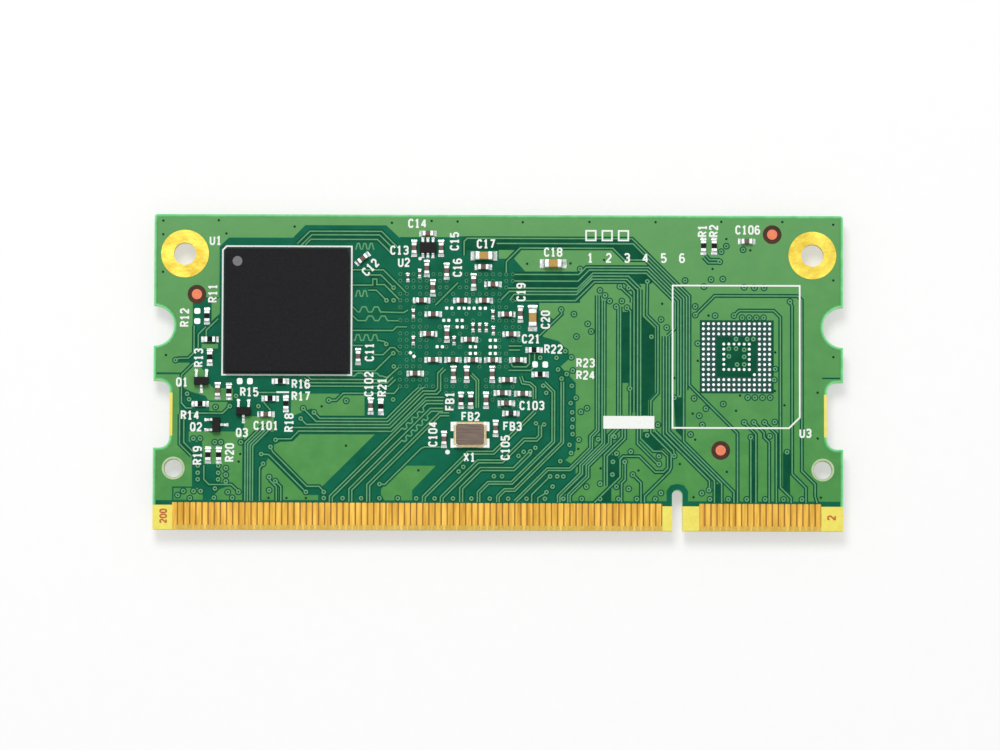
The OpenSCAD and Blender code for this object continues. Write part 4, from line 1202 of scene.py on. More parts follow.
UPPER_RUNS: tuple[Run | Meander, ...] = (
    # Round the memory package and across to the processor.
    Run(((-19.8, 12.6), (-18.55, 13.85), (-11.5, 13.85), (-9.9, 12.25))),
    Run(((-19.4, 12.45), (-18.35, 13.5), (-11.7, 13.5), (-10.6, 12.4))),
    Run(((-19.0, 12.5), (-18.45, 13.05), (-11.9, 13.05), (-10.4, 11.55))),
    Meander((-14.1, 12.1), (-12.2, 12.1), 0.55, 3),
    Run(((-14.4, 10.05), (-11.3, 10.05), (-9.0, 7.75))),
    Run(((-13.0, 9.55), (-11.55, 9.55), (-10.3, 8.3))),
    Run((
        (-14.4, 8.55), (-12.35, 8.55), (-12.35, 9.15), (-11.95, 9.15), (-11.95, 8.6),
        (-11.2, 8.6), (-9.65, 7.05),
    )),
    Meander((-14.1, 7.45), (-12.8, 7.45), 0.55, 2),
    Run(((-12.8, 8.05), (-12.0, 8.05), (-11.0, 7.05))),
    Run(((-14.4, 6.5), (-13.8, 5.9))),
    Meander((-13.8, 5.9), (-11.4, 5.9), 0.5, 2),
    Run(((-11.4, 5.9), (-9.3, 5.85), (-8.9, 6.1))),
    Run(((-14.4, 5.6), (-13.8, 5.05), (-13.15, 5.05))),
    Meander((-13.2, 5.05), (-10.7, 5.05), 0.45, 2),
    Run(((-10.75, 5.05), (-9.65, 5.05))),
    Run(((-14.4, 4.08), (-10.35, 4.08), (-10.0, 4.45), (-9.0, 4.45))),
    Meander((-14.2, 3.1), (-11.7, 3.1), 0.55, 3),
    Run(((-11.7, 3.1), (-11.2, 3.0), (-11.0, 2.8))),
    Run(((-14.3, 2.6), (-13.3, 2.6))),
    Run(((-12.3, 1.7), (-11.3, 1.7), (-10.6, 2.4), (-10.2, 2.4), (-9.65, 1.85))),
    Run(((-14.4, 0.1), (-12.1, 0.1), (-10.35, 1.85))),
    Meander((-14.3, -0.4), (-11.4, -0.4), 0.28, 2),
    Run(((-11.4, -0.4), (-10.9, -0.55), (-9.65, 0.55))),
    Run(((-19.0, -0.6), (-18.5, -1.08), (-10.9, -1.08), (-10.3, -0.5)), 3, 0.33),
    Run(((-16.6, -2.8), (-15.9, -2.8), (-15.2, -2.1), (-10.2, -2.1), (-9.65, -1.4))),
    # Rows that rise towards the processor.
    Run(((-18.05, -4.0), (-17.5, -4.57), (-10.95, -4.57), (-8.35, -1.95), (-7.7, -1.4))),
    Run(((-19.1, -3.6), (-17.85, -4.87), (-10.83, -4.87), (-7.6, -1.65), (-7.05, -1.4))),
    Run((
        (-19.35, -4.6), (-18.8, -5.17), (-10.7, -5.17), (-7.38, -1.85), (-6.2, -1.85),
        (-5.95, -1.6), (-5.95, -0.1), (-5.4, 0.45),
    )),
    Run((
        (-20.1, -5.48), (-10.58, -5.48), (-7.25, -2.15), (-6.0, -2.15), (-5.65, -1.8),
        (-5.65, -0.2), (-5.15, 0.3),
    )),
    Run((
        (-22.0, -6.6), (-20.3, -6.6), (-19.55, -5.83), (-10.45, -5.83), (-7.1, -2.47),
        (-5.3, -2.47),
    )),
    # Pairs that rise from the contacts.
    Run(((-16.35, -12.75), (-16.35, -12.25), (-9.6, -5.5)), 2, 0.29),
    Run(((-9.7, -5.4), (-7.1, -2.8), (-5.4, -2.8))),
    Meander((-9.5, -5.6), (-7.3, -3.4), -0.3, 4),
    Run(((-7.35, -3.45), (-7.0, -3.1), (-5.4, -3.1))),
    Run(((-14.45, -12.75), (-14.45, -11.55), (-9.6, -6.7)), 2, 0.29),
    Run(((-9.7, -6.6), (-6.65, -3.55), (-5.4, -3.55))),
    Meander((-9.5, -6.8), (-6.9, -4.2), -0.3, 5),
    Run(((-6.95, -4.25), (-6.55, -3.85), (-5.4, -3.85))),
    Run(((-12.7, -12.75), (-12.7, -11.1), (-5.74, -4.14), (-4.8, -4.14)), 2, 0.29),
    Run(((-11.6, -11.0), (-11.1, -11.05), (-7.55, -7.5), (-7.2, -7.35), (-5.4, -7.35))),
    Run(((-7.25, -12.75), (-7.25, -12.25), (-2.9, -7.9), (-0.45, -7.9), (3.6, -3.85)), 2),
    Run((
        (-5.5, -12.75), (-5.5, -12.3), (-1.95, -8.75), (0.4, -8.75), (2.55, -6.6), (3.75, -6.6),
        (4.1, -6.25), (4.1, -5.2),
    ), 2),
    Run(((-3.6, -12.75), (-3.6, -11.4), (-1.7, -9.5), (1.55, -9.5), (3.2, -7.85)), 2, 0.29),
    Run((
        (-1.9, -12.75), (-1.9, -11.8), (-0.95, -10.85), (1.35, -10.85), (5.4, -6.8), (5.4, -1.9),
        (4.5, -1.0),
    ), 2, 0.25),
    Run((
        (0.0, -12.75), (0.0, -12.2), (0.65, -11.55), (1.6, -11.55), (6.28, -6.87), (6.28, -0.9),
    ), 2, 0.25),
    Run((
        (1.7, -12.65), (4.85, -9.5), (7.05, -9.5), (9.12, -7.43), (9.12, -6.3), (9.75, -5.65),
        (9.75, 7.6),
    ), 2, 0.24),
    Run(((3.3, -12.75), (3.3, -12.0), (5.1, -10.2))),
    Run(((3.9, -12.75), (3.9, -12.3), (4.75, -11.8))),
    Run((
        (5.95, -12.75), (5.95, -12.1), (8.15, -9.9), (8.15, -9.1), (10.3, -6.95), (10.3, 7.1),
    ), 2, 0.24),
    Run((
        (6.95, -12.75), (6.95, -12.0), (8.75, -10.2), (8.75, -9.15), (10.95, -6.95),
        (10.95, -6.2), (11.85, -5.3), (11.85, 6.5),
    ), 2, 0.24),
    Run(((10.55, -11.1), (10.55, -8.15), (12.3, -6.4), (12.3, -4.2)), 2),
    Run((
        (9.45, -12.75), (11.95, -10.25), (11.95, -8.5), (12.25, -8.2), (13.85, -8.2),
        (15.4, -9.75), (16.2, -9.75), (16.6, -9.35), (16.6, -8.2), (16.05, -7.7), (15.2, -7.7),
        (13.95, -6.45), (13.95, 8.2),
    )),
    Run(((15.7, -8.9), (15.45, -8.75), (13.65, -6.95), (13.65, 8.3))),
    Run(((12.45, -8.7), (12.45, -10.5), (12.1, -10.85), (12.1, -12.7))),
    Run(((13.2, -10.0), (14.0, -10.8), (14.0, -12.75))),
    Run((
        (14.35, -12.75), (14.35, -12.1), (16.75, -9.7), (16.95, -9.3), (16.95, -7.9),
        (14.95, -5.9), (14.95, -2.75), (15.65, -2.0), (15.65, 4.6), (14.55, 5.7), (14.6, 9.0),
    )),
    Run(((15.33, -5.7), (17.2, -7.57), (17.25, -8.0))),
    Run(((16.19, 3.6), (16.19, -6.07), (20.7, -10.58), (20.7, -11.4))),
    Run(((16.48, 3.6), (16.48, -5.86), (21.19, -10.57), (21.19, -12.75))),
    Run(((16.76, 3.6), (16.76, -5.73), (21.9, -10.87), (21.9, -12.75))),
    # Long runs over the top and down the right side.
    Run((
        (-3.4, 11.5), (-3.4, 12.9), (-3.1, 13.2), (13.1, 13.2), (18.73, 7.57), (18.73, -1.2),
        (23.45, -5.92), (23.45, -12.75),
    )),
    Run((
        (-0.2, 12.7), (13.2, 12.7), (18.45, 7.45), (18.45, -1.7),
    )),
    Run((
        (0.75, 9.65), (0.75, 10.9), (2.1, 12.25), (11.2, 12.25), (12.35, 11.1), (14.4, 11.1),
        (18.17, 7.33), (18.17, -6.75), (23.1, -11.68), (23.1, -12.75),
    )),
    Run(((1.4, 9.65), (7.87, 9.65), (8.6, 10.38), (14.72, 10.38), (17.89, 7.21), (17.89, -2.2))),
    Run(((1.4, 9.0), (7.8, 9.0), (8.9, 10.1), (14.6, 10.1), (17.61, 7.09), (17.61, -2.2))),
    Run((
        (0.75, 8.3), (7.75, 8.3), (9.25, 9.8), (14.5, 9.8), (17.33, 6.97), (17.33, 4.4),
        (16.6, 3.65),
    )),
    Run(((0.2, 7.1), (1.05, 7.98), (7.7, 7.98), (9.22, 9.5), (12.75, 9.5), (13.9, 8.35))),
    Run(((1.1, 7.1), (1.5, 7.68), (7.65, 7.68), (9.17, 9.2), (12.6, 9.2), (13.6, 8.2))),
    Run(((1.4, 7.05), (7.55, 7.08), (9.4, 8.93), (12.4, 8.93), (13.3, 8.03), (13.3, -3.9))),
    Run(((12.6, 6.4), (12.95, 6.05), (12.95, -4.2))),
    Run(((11.9, 8.5), (13.05, 7.4), (13.05, 6.9))),
    Run(((20.2, 11.5), (20.65, 11.0), (21.7, 11.0)), 2, 0.3),
    Run((
        (19.3, 5.7), (21.2, 7.6), (29.35, 7.6), (29.75, 7.2), (29.75, -9.6), (31.05, -10.9),
        (31.05, -12.1), (31.25, -12.75),
    )),
    Run((
        (23.1, 5.65), (23.6, 6.15), (27.0, 6.15), (27.65, 5.5), (27.65, -11.2), (28.7, -12.25),
        (28.7, -12.75),
    )),
    Run(((28.6, 7.05), (28.8, 6.6), (28.8, -9.9), (30.15, -11.25), (30.15, -12.75))),
    Run(((24.1, -4.85), (25.25, -6.0), (25.25, -12.75))),
    Run(((24.75, -6.3), (24.75, -12.75))),
    Run(((25.05, -4.85), (26.05, -5.85), (26.05, -6.3), (26.55, -6.8), (26.55, -12.75))),
    Run(((26.1, -4.85), (27.25, -6.0), (27.25, -12.75))),
    # The left end.
    Run(((-29.85, 4.5), (-29.85, 1.85), (-30.4, 1.3), (-31.4, 1.27), (-31.65, 1.1))),
    Run(((-29.44, 2.3), (-29.44, 3.65), (-28.7, 4.4))),
    Run(((-28.66, 3.4), (-28.66, 4.05), (-27.5, 5.2))),
    Run(((-29.9, 0.8), (-31.05, -0.35), (-31.05, -3.1), (-30.6, -3.6), (-30.0, -3.6))),
    Run(((-31.0, -4.2), (-31.0, -7.05), (-29.9, -8.15)), 2, 0.42),
    Run(((-30.9, -4.1), (-27.0, -4.1), (-26.3, -3.4))),
    Run(((-23.5, -2.05), (-21.8, -2.05))),
    Run(((-23.0, -3.0), (-22.3, -3.8))),
    Run(((-28.8, -9.2), (-28.8, -10.6), (-28.3, -11.1), (-26.1, -11.1), (-25.4, -11.75))),
    Run(((-24.4, -12.7), (-24.4, -7.15), (-22.6, -5.35)), 4, 0.25),
    Run(((-22.3, -7.45), (-22.05, -7.9), (-18.72, -11.25), (-17.5, -11.25), (-17.05, -11.75))),
    Run(((-23.25, -8.1), (-22.45, -8.15), (-18.95, -11.65), (-18.8, -11.8))),
    Run(((-23.0, -9.1), (-23.35, -9.45), (-23.35, -12.7))),
    Run(((-22.4, -10.35), (-22.3, -10.7), (-21.7, -11.3), (-21.7, -12.7))),
    Run(((-21.8, -10.75), (-21.25, -11.3), (-21.25, -12.7))),
    # Round the processor.
    Run(((-4.0, 8.8), (-6.2, 6.6))),
    Run(((-2.65, -0.2), (-2.05, -0.8), (-2.05, -3.5)), 2, 0.24),
    Run(((1.3, 0.9), (1.3, 0.7), (1.45, 0.55), (2.75, 0.55), (3.05, 0.85), (3.05, 1.9))),
    Run(((1.0, 0.2), (3.2, 0.2), (3.55, 0.55), (3.55, 1.9))),
    Run(((2.2, -0.4), (2.4, -1.0), (3.1, -1.1), (3.55, -1.5), (3.55, -2.6)), 2, 0.26),
    Run(((6.15, 6.2), (6.2, 5.75), (4.0, 3.6))),
    Run(((1.0, 2.2), (2.1, 2.2))),
    Run(((1.0, 2.6), (2.3, 2.6))),
)

UPPER_VIAS: Points = (
    (-11.0, 7.05), (-10.3, 7.05), (-10.3, 8.3), (-11.0, 2.75), (-10.3, 1.85), (-10.25, 0.55),
    (-10.3, -2.7), (-16.6, -2.8), (-14.9, -2.85), (-19.1, -3.6), (-18.05, -4.0), (-19.35, -4.6),
    (-30.5, -2.2), (-30.3, -2.75), (-31.65, 1.1), (-27.7, -3.5), (-26.3, -3.4), (-25.7, -2.4),
    (-23.5, -3.4), (-21.8, -6.7), (-25.2, -6.95), (-22.3, -7.4), (-23.2, -8.1), (-23.0, -9.05),
    (-29.85, -6.6), (-29.2, -6.6), (-27.75, -6.95), (-27.15, -6.95), (-29.4, -9.25),
    (-29.4, -9.95), (-29.4, -10.6), (-27.4, -9.25), (-27.4, -9.95), (-27.4, -10.6),
    (-26.65, -9.5), (-26.65, -10.15), (-26.65, -10.8), (-30.8, -11.75), (-29.8, -11.75),
    (-29.1, -11.75), (-31.35, -12.15), (-30.15, -12.45), (-27.7, -11.5), (-26.45, -11.85),
    (-25.4, -11.8), (-27.8, -12.4), (-26.0, -12.4), (-22.4, -10.35), (-21.8, -10.75),
    (-22.4, -11.65), (-18.8, -11.8), (-17.05, -11.8), (-17.05, -12.4), (-11.6, -11.0),
    (-3.4, -9.3), (-3.85, -9.75), (2.0, -8.2), (2.5, -7.8), (3.15, -7.75), (3.65, -7.4),
    (-0.4, -10.2), (0.4, -10.2), (5.1, -10.2), (5.8, -10.2), (6.4, -10.2), (5.35, -11.2),
    (4.75, -11.75), (6.1, -8.7), (7.15, -7.9), (7.0, -7.1), (7.9, -6.6), (7.3, -6.05),
    (7.25, -5.35), (7.3, -4.6), (7.25, -3.9), (8.1, -3.85), (8.7, -3.5), (7.1, -3.0), (7.6, -2.5),
    (7.2, -1.3), (7.3, 0.2), (6.7, -0.15), (6.2, -0.6), (5.85, 0.3), (5.7, 1.45), (7.15, 1.5),
    (4.1, 1.45), (6.55, 2.1), (7.65, 3.55), (9.1, 4.05), (8.75, 4.8), (7.4, 5.75), (6.15, 6.2),
    (4.4, -1.3), (4.7, -2.0), (3.7, -5.0), (4.5, -5.1), (9.95, 8.1), (10.45, 7.6), (10.9, 7.05),
    (11.9, 8.5), (12.75, 8.35), (12.1, 7.05), (11.55, 6.5), (12.6, 6.4), (14.6, 9.0),
    (18.3, 9.1), (15.95, 5.25), (16.5, 4.45), (15.0, 3.55), (19.3, 6.55), (19.3, 5.7),
    (12.9, -1.55), (15.65, -5.1), (17.25, -2.45), (9.8, -6.55), (11.4, -6.3), (14.6, -6.15),
    (13.0, -7.75), (11.6, -7.95), (11.25, -8.75), (12.4, -8.75), (15.75, -8.2), (15.75, -8.95),
    (17.25, -8.15), (11.2, -10.0), (13.2, -10.0), (8.65, -11.2), (10.0, -10.9), (11.6, -11.2),
    (12.8, -11.4), (15.95, -11.8), (19.95, -11.8), (20.65, -11.5), (18.85, -6.05), (19.2, -2.5),
    (20.35, -3.5), (19.7, -4.2), (20.0, -5.1), (22.05, -3.05), (24.45, -2.4), (25.15, -2.4),
    (25.9, -2.4), (26.65, -2.4), (24.1, -4.85), (25.05, -4.85), (26.1, -4.85), (27.1, -4.8),
    (24.75, -6.3), (26.6, -6.2), (28.3, -7.75), (19.55, 2.9), (27.15, 0.4), (27.05, -0.65),
    (22.35, 12.5), (21.85, 11.95), (24.0, 12.15), (21.7, 10.95), (20.85, 9.2), (22.0, 9.25),
    (20.15, 8.5), (24.1, 8.45), (25.1, 8.4), (26.05, 8.4), (28.6, 7.05), (21.25, 5.65),
    (23.1, 5.65), (23.9, 5.45), (24.6, 5.45), (25.3, 5.45), (26.0, 5.45), (8.0, 10.2),
    (22.6, 2.4), (23.3, 2.4), (22.6, 1.65), (24.1, 2.3), (24.1, 1.6), (24.1, 0.85), (23.4, 0.85),
    (23.3, 3.35), (24.4, 3.35), (25.0, 3.35),
)

UPPER_DOTS: Points = (
    (-32.95, 14.85), (-32.95, 13.5), (-32.95, 9.8), (-27.5, 14.9), (-26.75, 13.6), (-20.05, 14.3),
    (-10.5, 14.7), (-6.6, 14.9), (-4.05, 14.85), (2.35, 14.8), (8.9, 14.85), (15.4, 14.85),
    (10.35, 11.1), (16.05, 6.8), (21.85, 14.9), (27.85, 14.9), (32.85, 14.65), (32.85, 9.15),
    (21.0, 10.25), (24.7, 12.1), (22.35, 13.2), (20.6, 5.65), (2.8, 10.7), (7.05, 10.75),
    (-32.6, 1.6), (-17.3, -3.4), (-14.9, -7.25), (-7.8, -9.65), (-20.7, -12.4), (-18.8, -12.4),
    (-25.25, -8.1), (-25.4, -8.85), (-22.45, -12.4), (10.05, -9.4), (13.75, -9.6), (17.8, -8.95),
    (19.3, -6.55), (22.4, -9.7), (31.3, -6.4), (31.6, -12.2), (32.85, 1.6), (31.3, -1.9),
    (27.15, 2.05), (27.1, -1.75), (23.7, -2.2), (23.3, -3.7), (28.05, -3.15), (19.55, 1.2),
    (19.05, -4.0), (17.25, -0.5), (7.85, -7.5), (19.15, -12.2),
)


# Holes through the board that copper keeps clear of, and how wide it keeps clear.
BOARD_HOLES: tuple[tuple[Point, float], ...] = (
    ((-30.8, 11.6), 1.5), ((30.8, 11.6), 1.5), ((-31.8, -9.5), 1.1), ((31.8, -9.5), 1.1),
)


def distances(points: np.ndarray, path: np.ndarray) -> np.ndarray:
    """Distance of each point from the nearest piece of a path.

    Args:
        points: Points, one row each.
        path: Points of the path.

    Returns:
        One distance per point.
    """
    start, run = path[:-1], np.diff(path, axis=0)
    share = ((points[:, None] - start) * run).sum(axis=2) / (run**2).sum(axis=1)
    near = start + np.clip(share, 0, 1)[..., None] * run
    return np.linalg.norm(points[:, None] - near, axis=2).min(axis=1)


@dataclass
class Conductors:
    """Copper under the mask on one face: pours, gaps, traces and vias."""

    side: Side
    pours: tuple[Points, ...]
    fields: tuple[Points, ...]
    runs: tuple[Run | Meander, ...]
    vias: np.ndarray
    fine_vias: np.ndarray
    dots: np.ndarray
    trace_w: float = 0.125
    gap_w: float = 0.14
    via_r: float = 0.23
    fine_r: float = 0.2
    pit_r: float = 0.09
    pit_cover_r: float = 0.108
    dot_r: float = 0.12
    clear_r: float = 0.34
    near: float = 0.42
    end_near: float = 0.16

    def pour(self, outline: Points, rise: float) -> Shell:
        """Lay one pour, with the board's holes that lie in it.

        Args:
            outline: Corners of the pour.
            rise: Its small rise over the layer's level.

        Returns:
            The closed pour.
        """
        rim = np.array(outline)
        holes = [
            np.array(at) + radius * spokes(HOLE_SIDES)
            for at, radius in BOARD_HOLES
            if inside(rim, at)
        ]
        return plate(rim, self.side.span(POUR_RISE + rise), tuple(holes))

    def loose(self, lines: list[np.ndarray]) -> np.ndarray:
        """Keep the fine vias that touch no trace, end one, and meet no listed via.

        Args:
            lines: All traces of this face.

        Returns:
            The kept vias' centres.
        """
        vias = self.fine_vias
        ends = np.array([line[at] for line in lines for at in (0, -1)])
        ending = np.linalg.norm(vias[:, None] - ends, axis=2).min(axis=1) < self.end_near
        clear = np.min([distances(vias, line) for line in lines], axis=0) > self.near
        apart = np.linalg.norm(vias[:, None] - self.vias, axis=2).min(axis=1) > 2 * self.via_r
        return vias[(ending | clear) & apart]

    def build(self) -> None:
        """Lay the copper from the lowest layer to the highest."""
        side, tag = self.side, self.side.name.lower()
        lines = [line for run in self.runs for line in run.lines()]
        vias, fine = self.vias, self.loose(lines)
        steps = tiers(len(self.pours), FIELD_TIERS)
        pours = [self.pour(outline, rise) for outline, rise in zip(self.pours, steps)]
        lay(f"copper_pours_{tag}", pours, POUR_MASK)
        strips = [run.gap(self.trace_w, self.gap_w) for run in self.runs]
        strips = [strip for strip in strips if strip is not None]
        gaps = [
            plate(np.array(field), side.span(FIELD_RISE + rise))
            for field, rise in zip(self.fields, tiers(len(self.fields), FIELD_TIERS))
        ]
        gaps += [
            ribbon(line, width, side.span(GAP_RISE + rise))
            for (line, width), rise in zip(strips, tiers(len(strips), GAP_TIERS))
        ]
        clear = side.span(CLEAR_RISE + tiers(len(vias), FIELD_TIERS))
        gaps.append(discs(vias, self.clear_r, clear, VIA_SIDES))
        lay(f"mask_gaps_{tag}", gaps, GAP_MASK)
        traces = [
            ribbon(line, self.trace_w, side.span(TRACE_RISE + rise))
            for line, rise in zip(lines, tiers(len(lines), TRACE_TIERS))
        ]
        ring, pit = side.span(RING_RISE), side.span(PIT_RISE)
        traces.append(rings(vias, self.pit_r, self.via_r, ring, VIA_SIDES))
        lay(f"traces_{tag}", traces, TRACE_MASK)
        small = rings(fine, self.pit_r, self.fine_r, ring, VIA_SIDES)
        lay(f"fine_vias_{tag}", [small], FINE_VIA_MASK)
        pits = [
            discs(np.vstack([vias, fine]), self.pit_cover_r, pit, VIA_SIDES),
            discs(self.dots, self.dot_r, pit, VIA_SIDES),
        ]
        lay(f"via_pits_{tag}", pits, PIT)


@dataclass
class ProcessorVias:
    """The field of vias that leads the processor's balls through the board."""

    first: Point = (-9.65, -3.35)
    pitch: float = 0.65
    columns: int = 19
    rows: int = 21
    band: int = 5
    slant: tuple[int, int, int] = (3, 5, 7)

    def places(self) -> np.ndarray:
        """Keep a band along the field's rim and a chequered block in its middle.

        A slanting row in every few is left out of the band.

        Returns:
            The vias' centres.
        """
        column, row = np.meshgrid(np.arange(self.columns), np.arange(self.rows), indexing="ij")
        depth = np.minimum(
            np.minimum(column, self.columns - 1 - column), np.minimum(row, self.rows - 1 - row)
        )
        across, along, every = self.slant
        rim = (depth < self.band) & ((column * across + row * along) % every != 0)
        core = (depth > self.band) & ((column + row) % 2 == 0)
        kept = rim | core
        return np.array(self.first) + np.stack([column[kept], row[kept]], axis=1) * self.pitch


@dataclass
class ContactVias:
    """Vias above every third contact, along both groups of a row."""

    groups: tuple[tuple[float, int], ...] = ((-15.2, 18), (20.75, 6))
    pitch: float = 1.8
    y: float = -12.4

    def places(self) -> np.ndarray:
        """Step along each group from its first via.

        Returns:
            The vias' centres.
        """
        x = np.concatenate([first + self.pitch * np.arange(count) for first, count in self.groups])
        return np.stack([x, np.full(len(x), self.y)], axis=1)


# Print


ROUND: Points = (
    (0.15, 0), (0.45, 0), (0.6, 0.2), (0.6, 0.8), (0.45, 1), (0.15, 1), (0, 0.8), (0, 0.2),
    (0.15, 0),
)

# Strokes of each character. A stroke that meets itself is a loop or is cut in two.
GLYPHS: dict[str, tuple[Points, ...]] = {
    "0": (ROUND,),
    "1": (((0.3, 0), (0.3, 1.1)), ((0.06, 0.78), (0.3, 0.98)), ((0.08, 0), (0.52, 0))),
    "2": (
        ((0, 0.78), (0.15, 1), (0.45, 1), (0.6, 0.8), (0.6, 0.62), (0, 0.03)),
        ((-0.08, 0), (0.62, 0)),
    ),
    "3": (
        ((0, 0.85), (0.15, 1), (0.45, 1), (0.6, 0.85), (0.6, 0.65), (0.45, 0.52), (0.22, 0.52)),
        ((0.42, 0.52), (0.6, 0.38), (0.6, 0.15), (0.45, 0), (0.15, 0), (0, 0.15)),
    ),
    "4": (((0.45, 0), (0.45, 1)), ((0.45, 1), (0, 0.3)), ((-0.1, 0.28), (0.64, 0.28))),
    "5": ((
        (0.57, 1), (0.05, 1), (0.03, 0.56), (0.4, 0.6), (0.6, 0.44), (0.6, 0.18), (0.42, 0),
        (0.15, 0), (0, 0.15),
    ),),
    "6": (
        (
            (0.57, 0.9), (0.42, 1), (0.18, 1), (0, 0.75), (0, 0.2), (0.15, 0), (0.45, 0),
            (0.6, 0.18), (0.6, 0.4), (0.45, 0.56), (0.3, 0.56),
        ),
        ((0.35, 0.56), (0.15, 0.56), (0, 0.42)),
    ),
    "7": (((0, 1), (0.58, 1), (0.2, 0)),),
    "8": (
        (
            (0.15, 0.53), (0.45, 0.53), (0.6, 0.68), (0.6, 0.87), (0.45, 1), (0.15, 1), (0, 0.87),
            (0, 0.68), (0.15, 0.53),
        ),
        (
            (0.15, 0), (0.45, 0), (0.6, 0.15), (0.6, 0.36), (0.45, 0.53), (0.15, 0.53), (0, 0.36),
            (0, 0.15), (0.15, 0),
        ),
    ),
    "9": (
        (
            (0.03, 0.1), (0.18, 0), (0.42, 0), (0.6, 0.25), (0.6, 0.8), (0.45, 1), (0.15, 1),
            (0, 0.82), (0, 0.6), (0.15, 0.44), (0.3, 0.44),
        ),
        ((0.25, 0.44), (0.45, 0.44), (0.6, 0.58)),
    ),
    "B": (
        ((0, 0), (0, 1), (0.4, 1), (0.57, 0.87), (0.57, 0.66), (0.4, 0.52), (0.3, 0.52)),
        ((0.35, 0.52), (0, 0.52)),
        ((0.35, 0.52), (0.6, 0.36), (0.6, 0.15), (0.42, 0), (-0.05, 0)),
    ),
    "C": ((
        (0.6, 0.8), (0.45, 1), (0.18, 1), (0, 0.8), (0, 0.2), (0.18, 0), (0.45, 0), (0.6, 0.2),
    ),),
    "F": (((0.6, 1), (0, 1), (0, 0)), ((0, 0.52), (0.48, 0.52))),
    "L": (((0, 1), (0, 0), (0.58, 0)),),
    "Q": (ROUND, ((0.36, 0.28), (0.62, -0.04))),
    "R": (
        ((0, 0), (0, 1), (0.4, 1), (0.6, 0.87), (0.6, 0.63), (0.4, 0.5), (0.3, 0.5)),
        ((0.35, 0.5), (0, 0.5)),
        ((0.28, 0.5), (0.6, 0)),
    ),
    "U": (((0, 1), (0, 0.2), (0.15, 0), (0.45, 0), (0.6, 0.2), (0.6, 1)),),
    "X": (((0, 0), (0.6, 1)), ((0, 1), (0.6, 0))),
}


@dataclass(frozen=True)
class Label:
    """A short designator, centred on a place and turned by an angle."""

    words: str
    place: Point
    turn: float = 0.0
    height: float = 0.74
    narrow: float = 0.86
    glyph_w: float = 0.6
    advance: float = 0.85

    def lines(self, mirror: bool) -> list[np.ndarray]:
        """Set the strokes of every character side by side, then turn and place them.

        Args:
            mirror: Whether the label is read from below.

        Returns:
            One path per stroke.
        """
        width = (len(self.words) - 1) * self.advance + self.glyph_w * self.narrow
        angle = math.radians(self.turn)
        turned = np.array([
            [math.cos(angle), math.sin(angle)], [-math.sin(angle), math.cos(angle)]
        ])
        flip = np.array([-1.0 if mirror else 1.0, 1.0])
        return [
            (np.array(stroke) * (self.narrow, 1.0) + (step * self.advance - width / 2, -0.5))
            * self.height * flip @ turned + np.array(self.place)
            for step, word in enumerate(self.words)
            for stroke in GLYPHS[word]
        ]


UPPER_LABELS: tuple[Label, ...] = (
    Label("U1", (-27.8, 12.9)),
    Label("R11", (-28.05, 7.7), 90),
    Label("R12", (-30.8, 5.3), 90),
    Label("R13", (-29.4, 1.35), 90),
    Label("Q1", (-31.0, -1.05)),
    Label("R14", (-30.2, -4.3)),
    Label("Q2", (-29.6, -5.45)),
    Label("Q3", (-25.1, -6.0)),
    Label("R15", (-24.4, -2.0)),
    Label("R16", (-19.35, -1.2)),
    Label("R17", (-19.35, -2.4)),
    Label("C101", (-22.75, -5.3)),
    Label("R18", (-20.5, -5.0), 90),
    Label("R19", (-29.45, -8.25), 90),
    Label("R20", (-26.3, -7.95), 90),
    Label("C11", (-12.65, 1.95), 90),
    Label("C102", (-12.7, -1.2), 90),
    Label("R21", (-11.4, -1.5), 90),
    Label("C12", (-12.6, 10.3), 45),
    Label("C13", (-9.75, 12.0)),
    Label("U2", (-9.3, 10.8)),
    Label("C14", (-8.0, 14.65)),
    Label("C15", (-4.35, 12.9), 90),
    Label("C16", (-4.05, 10.3), 90),
    Label("C17", (-1.25, 12.65)),
    Label("C18", (5.35, 11.85)),
    Label("C19", (2.2, 7.9), 90),
    Label("C20", (4.6, 5.2), 90),
    Label("C21", (3.2, 3.3)),
    Label("R22", (5.4, 2.3)),
    Label("R23", (8.55, 0.95)),
    Label("R24", (8.55, -0.25)),
    Label("C103", (3.3, -3.25)),
    Label("FB1", (-4.75, -2.85), 90),
    Label("FB2", (-2.7, -4.35)),
    Label("FB3", (1.4, -5.3)),
    Label("C104", (-6.4, -6.1), 90),
    Label("C105", (0.7, -7.4), 90),
    Label("X1", (-2.8, -8.35)),
    Label("R1", (20.0, 14.0), 90),
    Label("R2", (21.1, 14.0), 90),
    Label("C106", (24.45, 14.1)),
    Label("U3", (30.1, -5.9)),
    *(Label(str(layer + 1), (9.0 + 1.8 * layer, 11.3), 0, 0.8) for layer in range(6)),
)


UPPER_PINS: tuple[Label, ...] = (
    Label("200", (-32.75, -14.2), 90, 0.58), Label("2", (32.65, -14.2), 90, 0.7),
)
LOWER_PINS: tuple[Label, ...] = (
    Label("199", (-32.75, -14.2), 90, 0.58), Label("1", (32.65, -14.2), 90, 0.7),
)


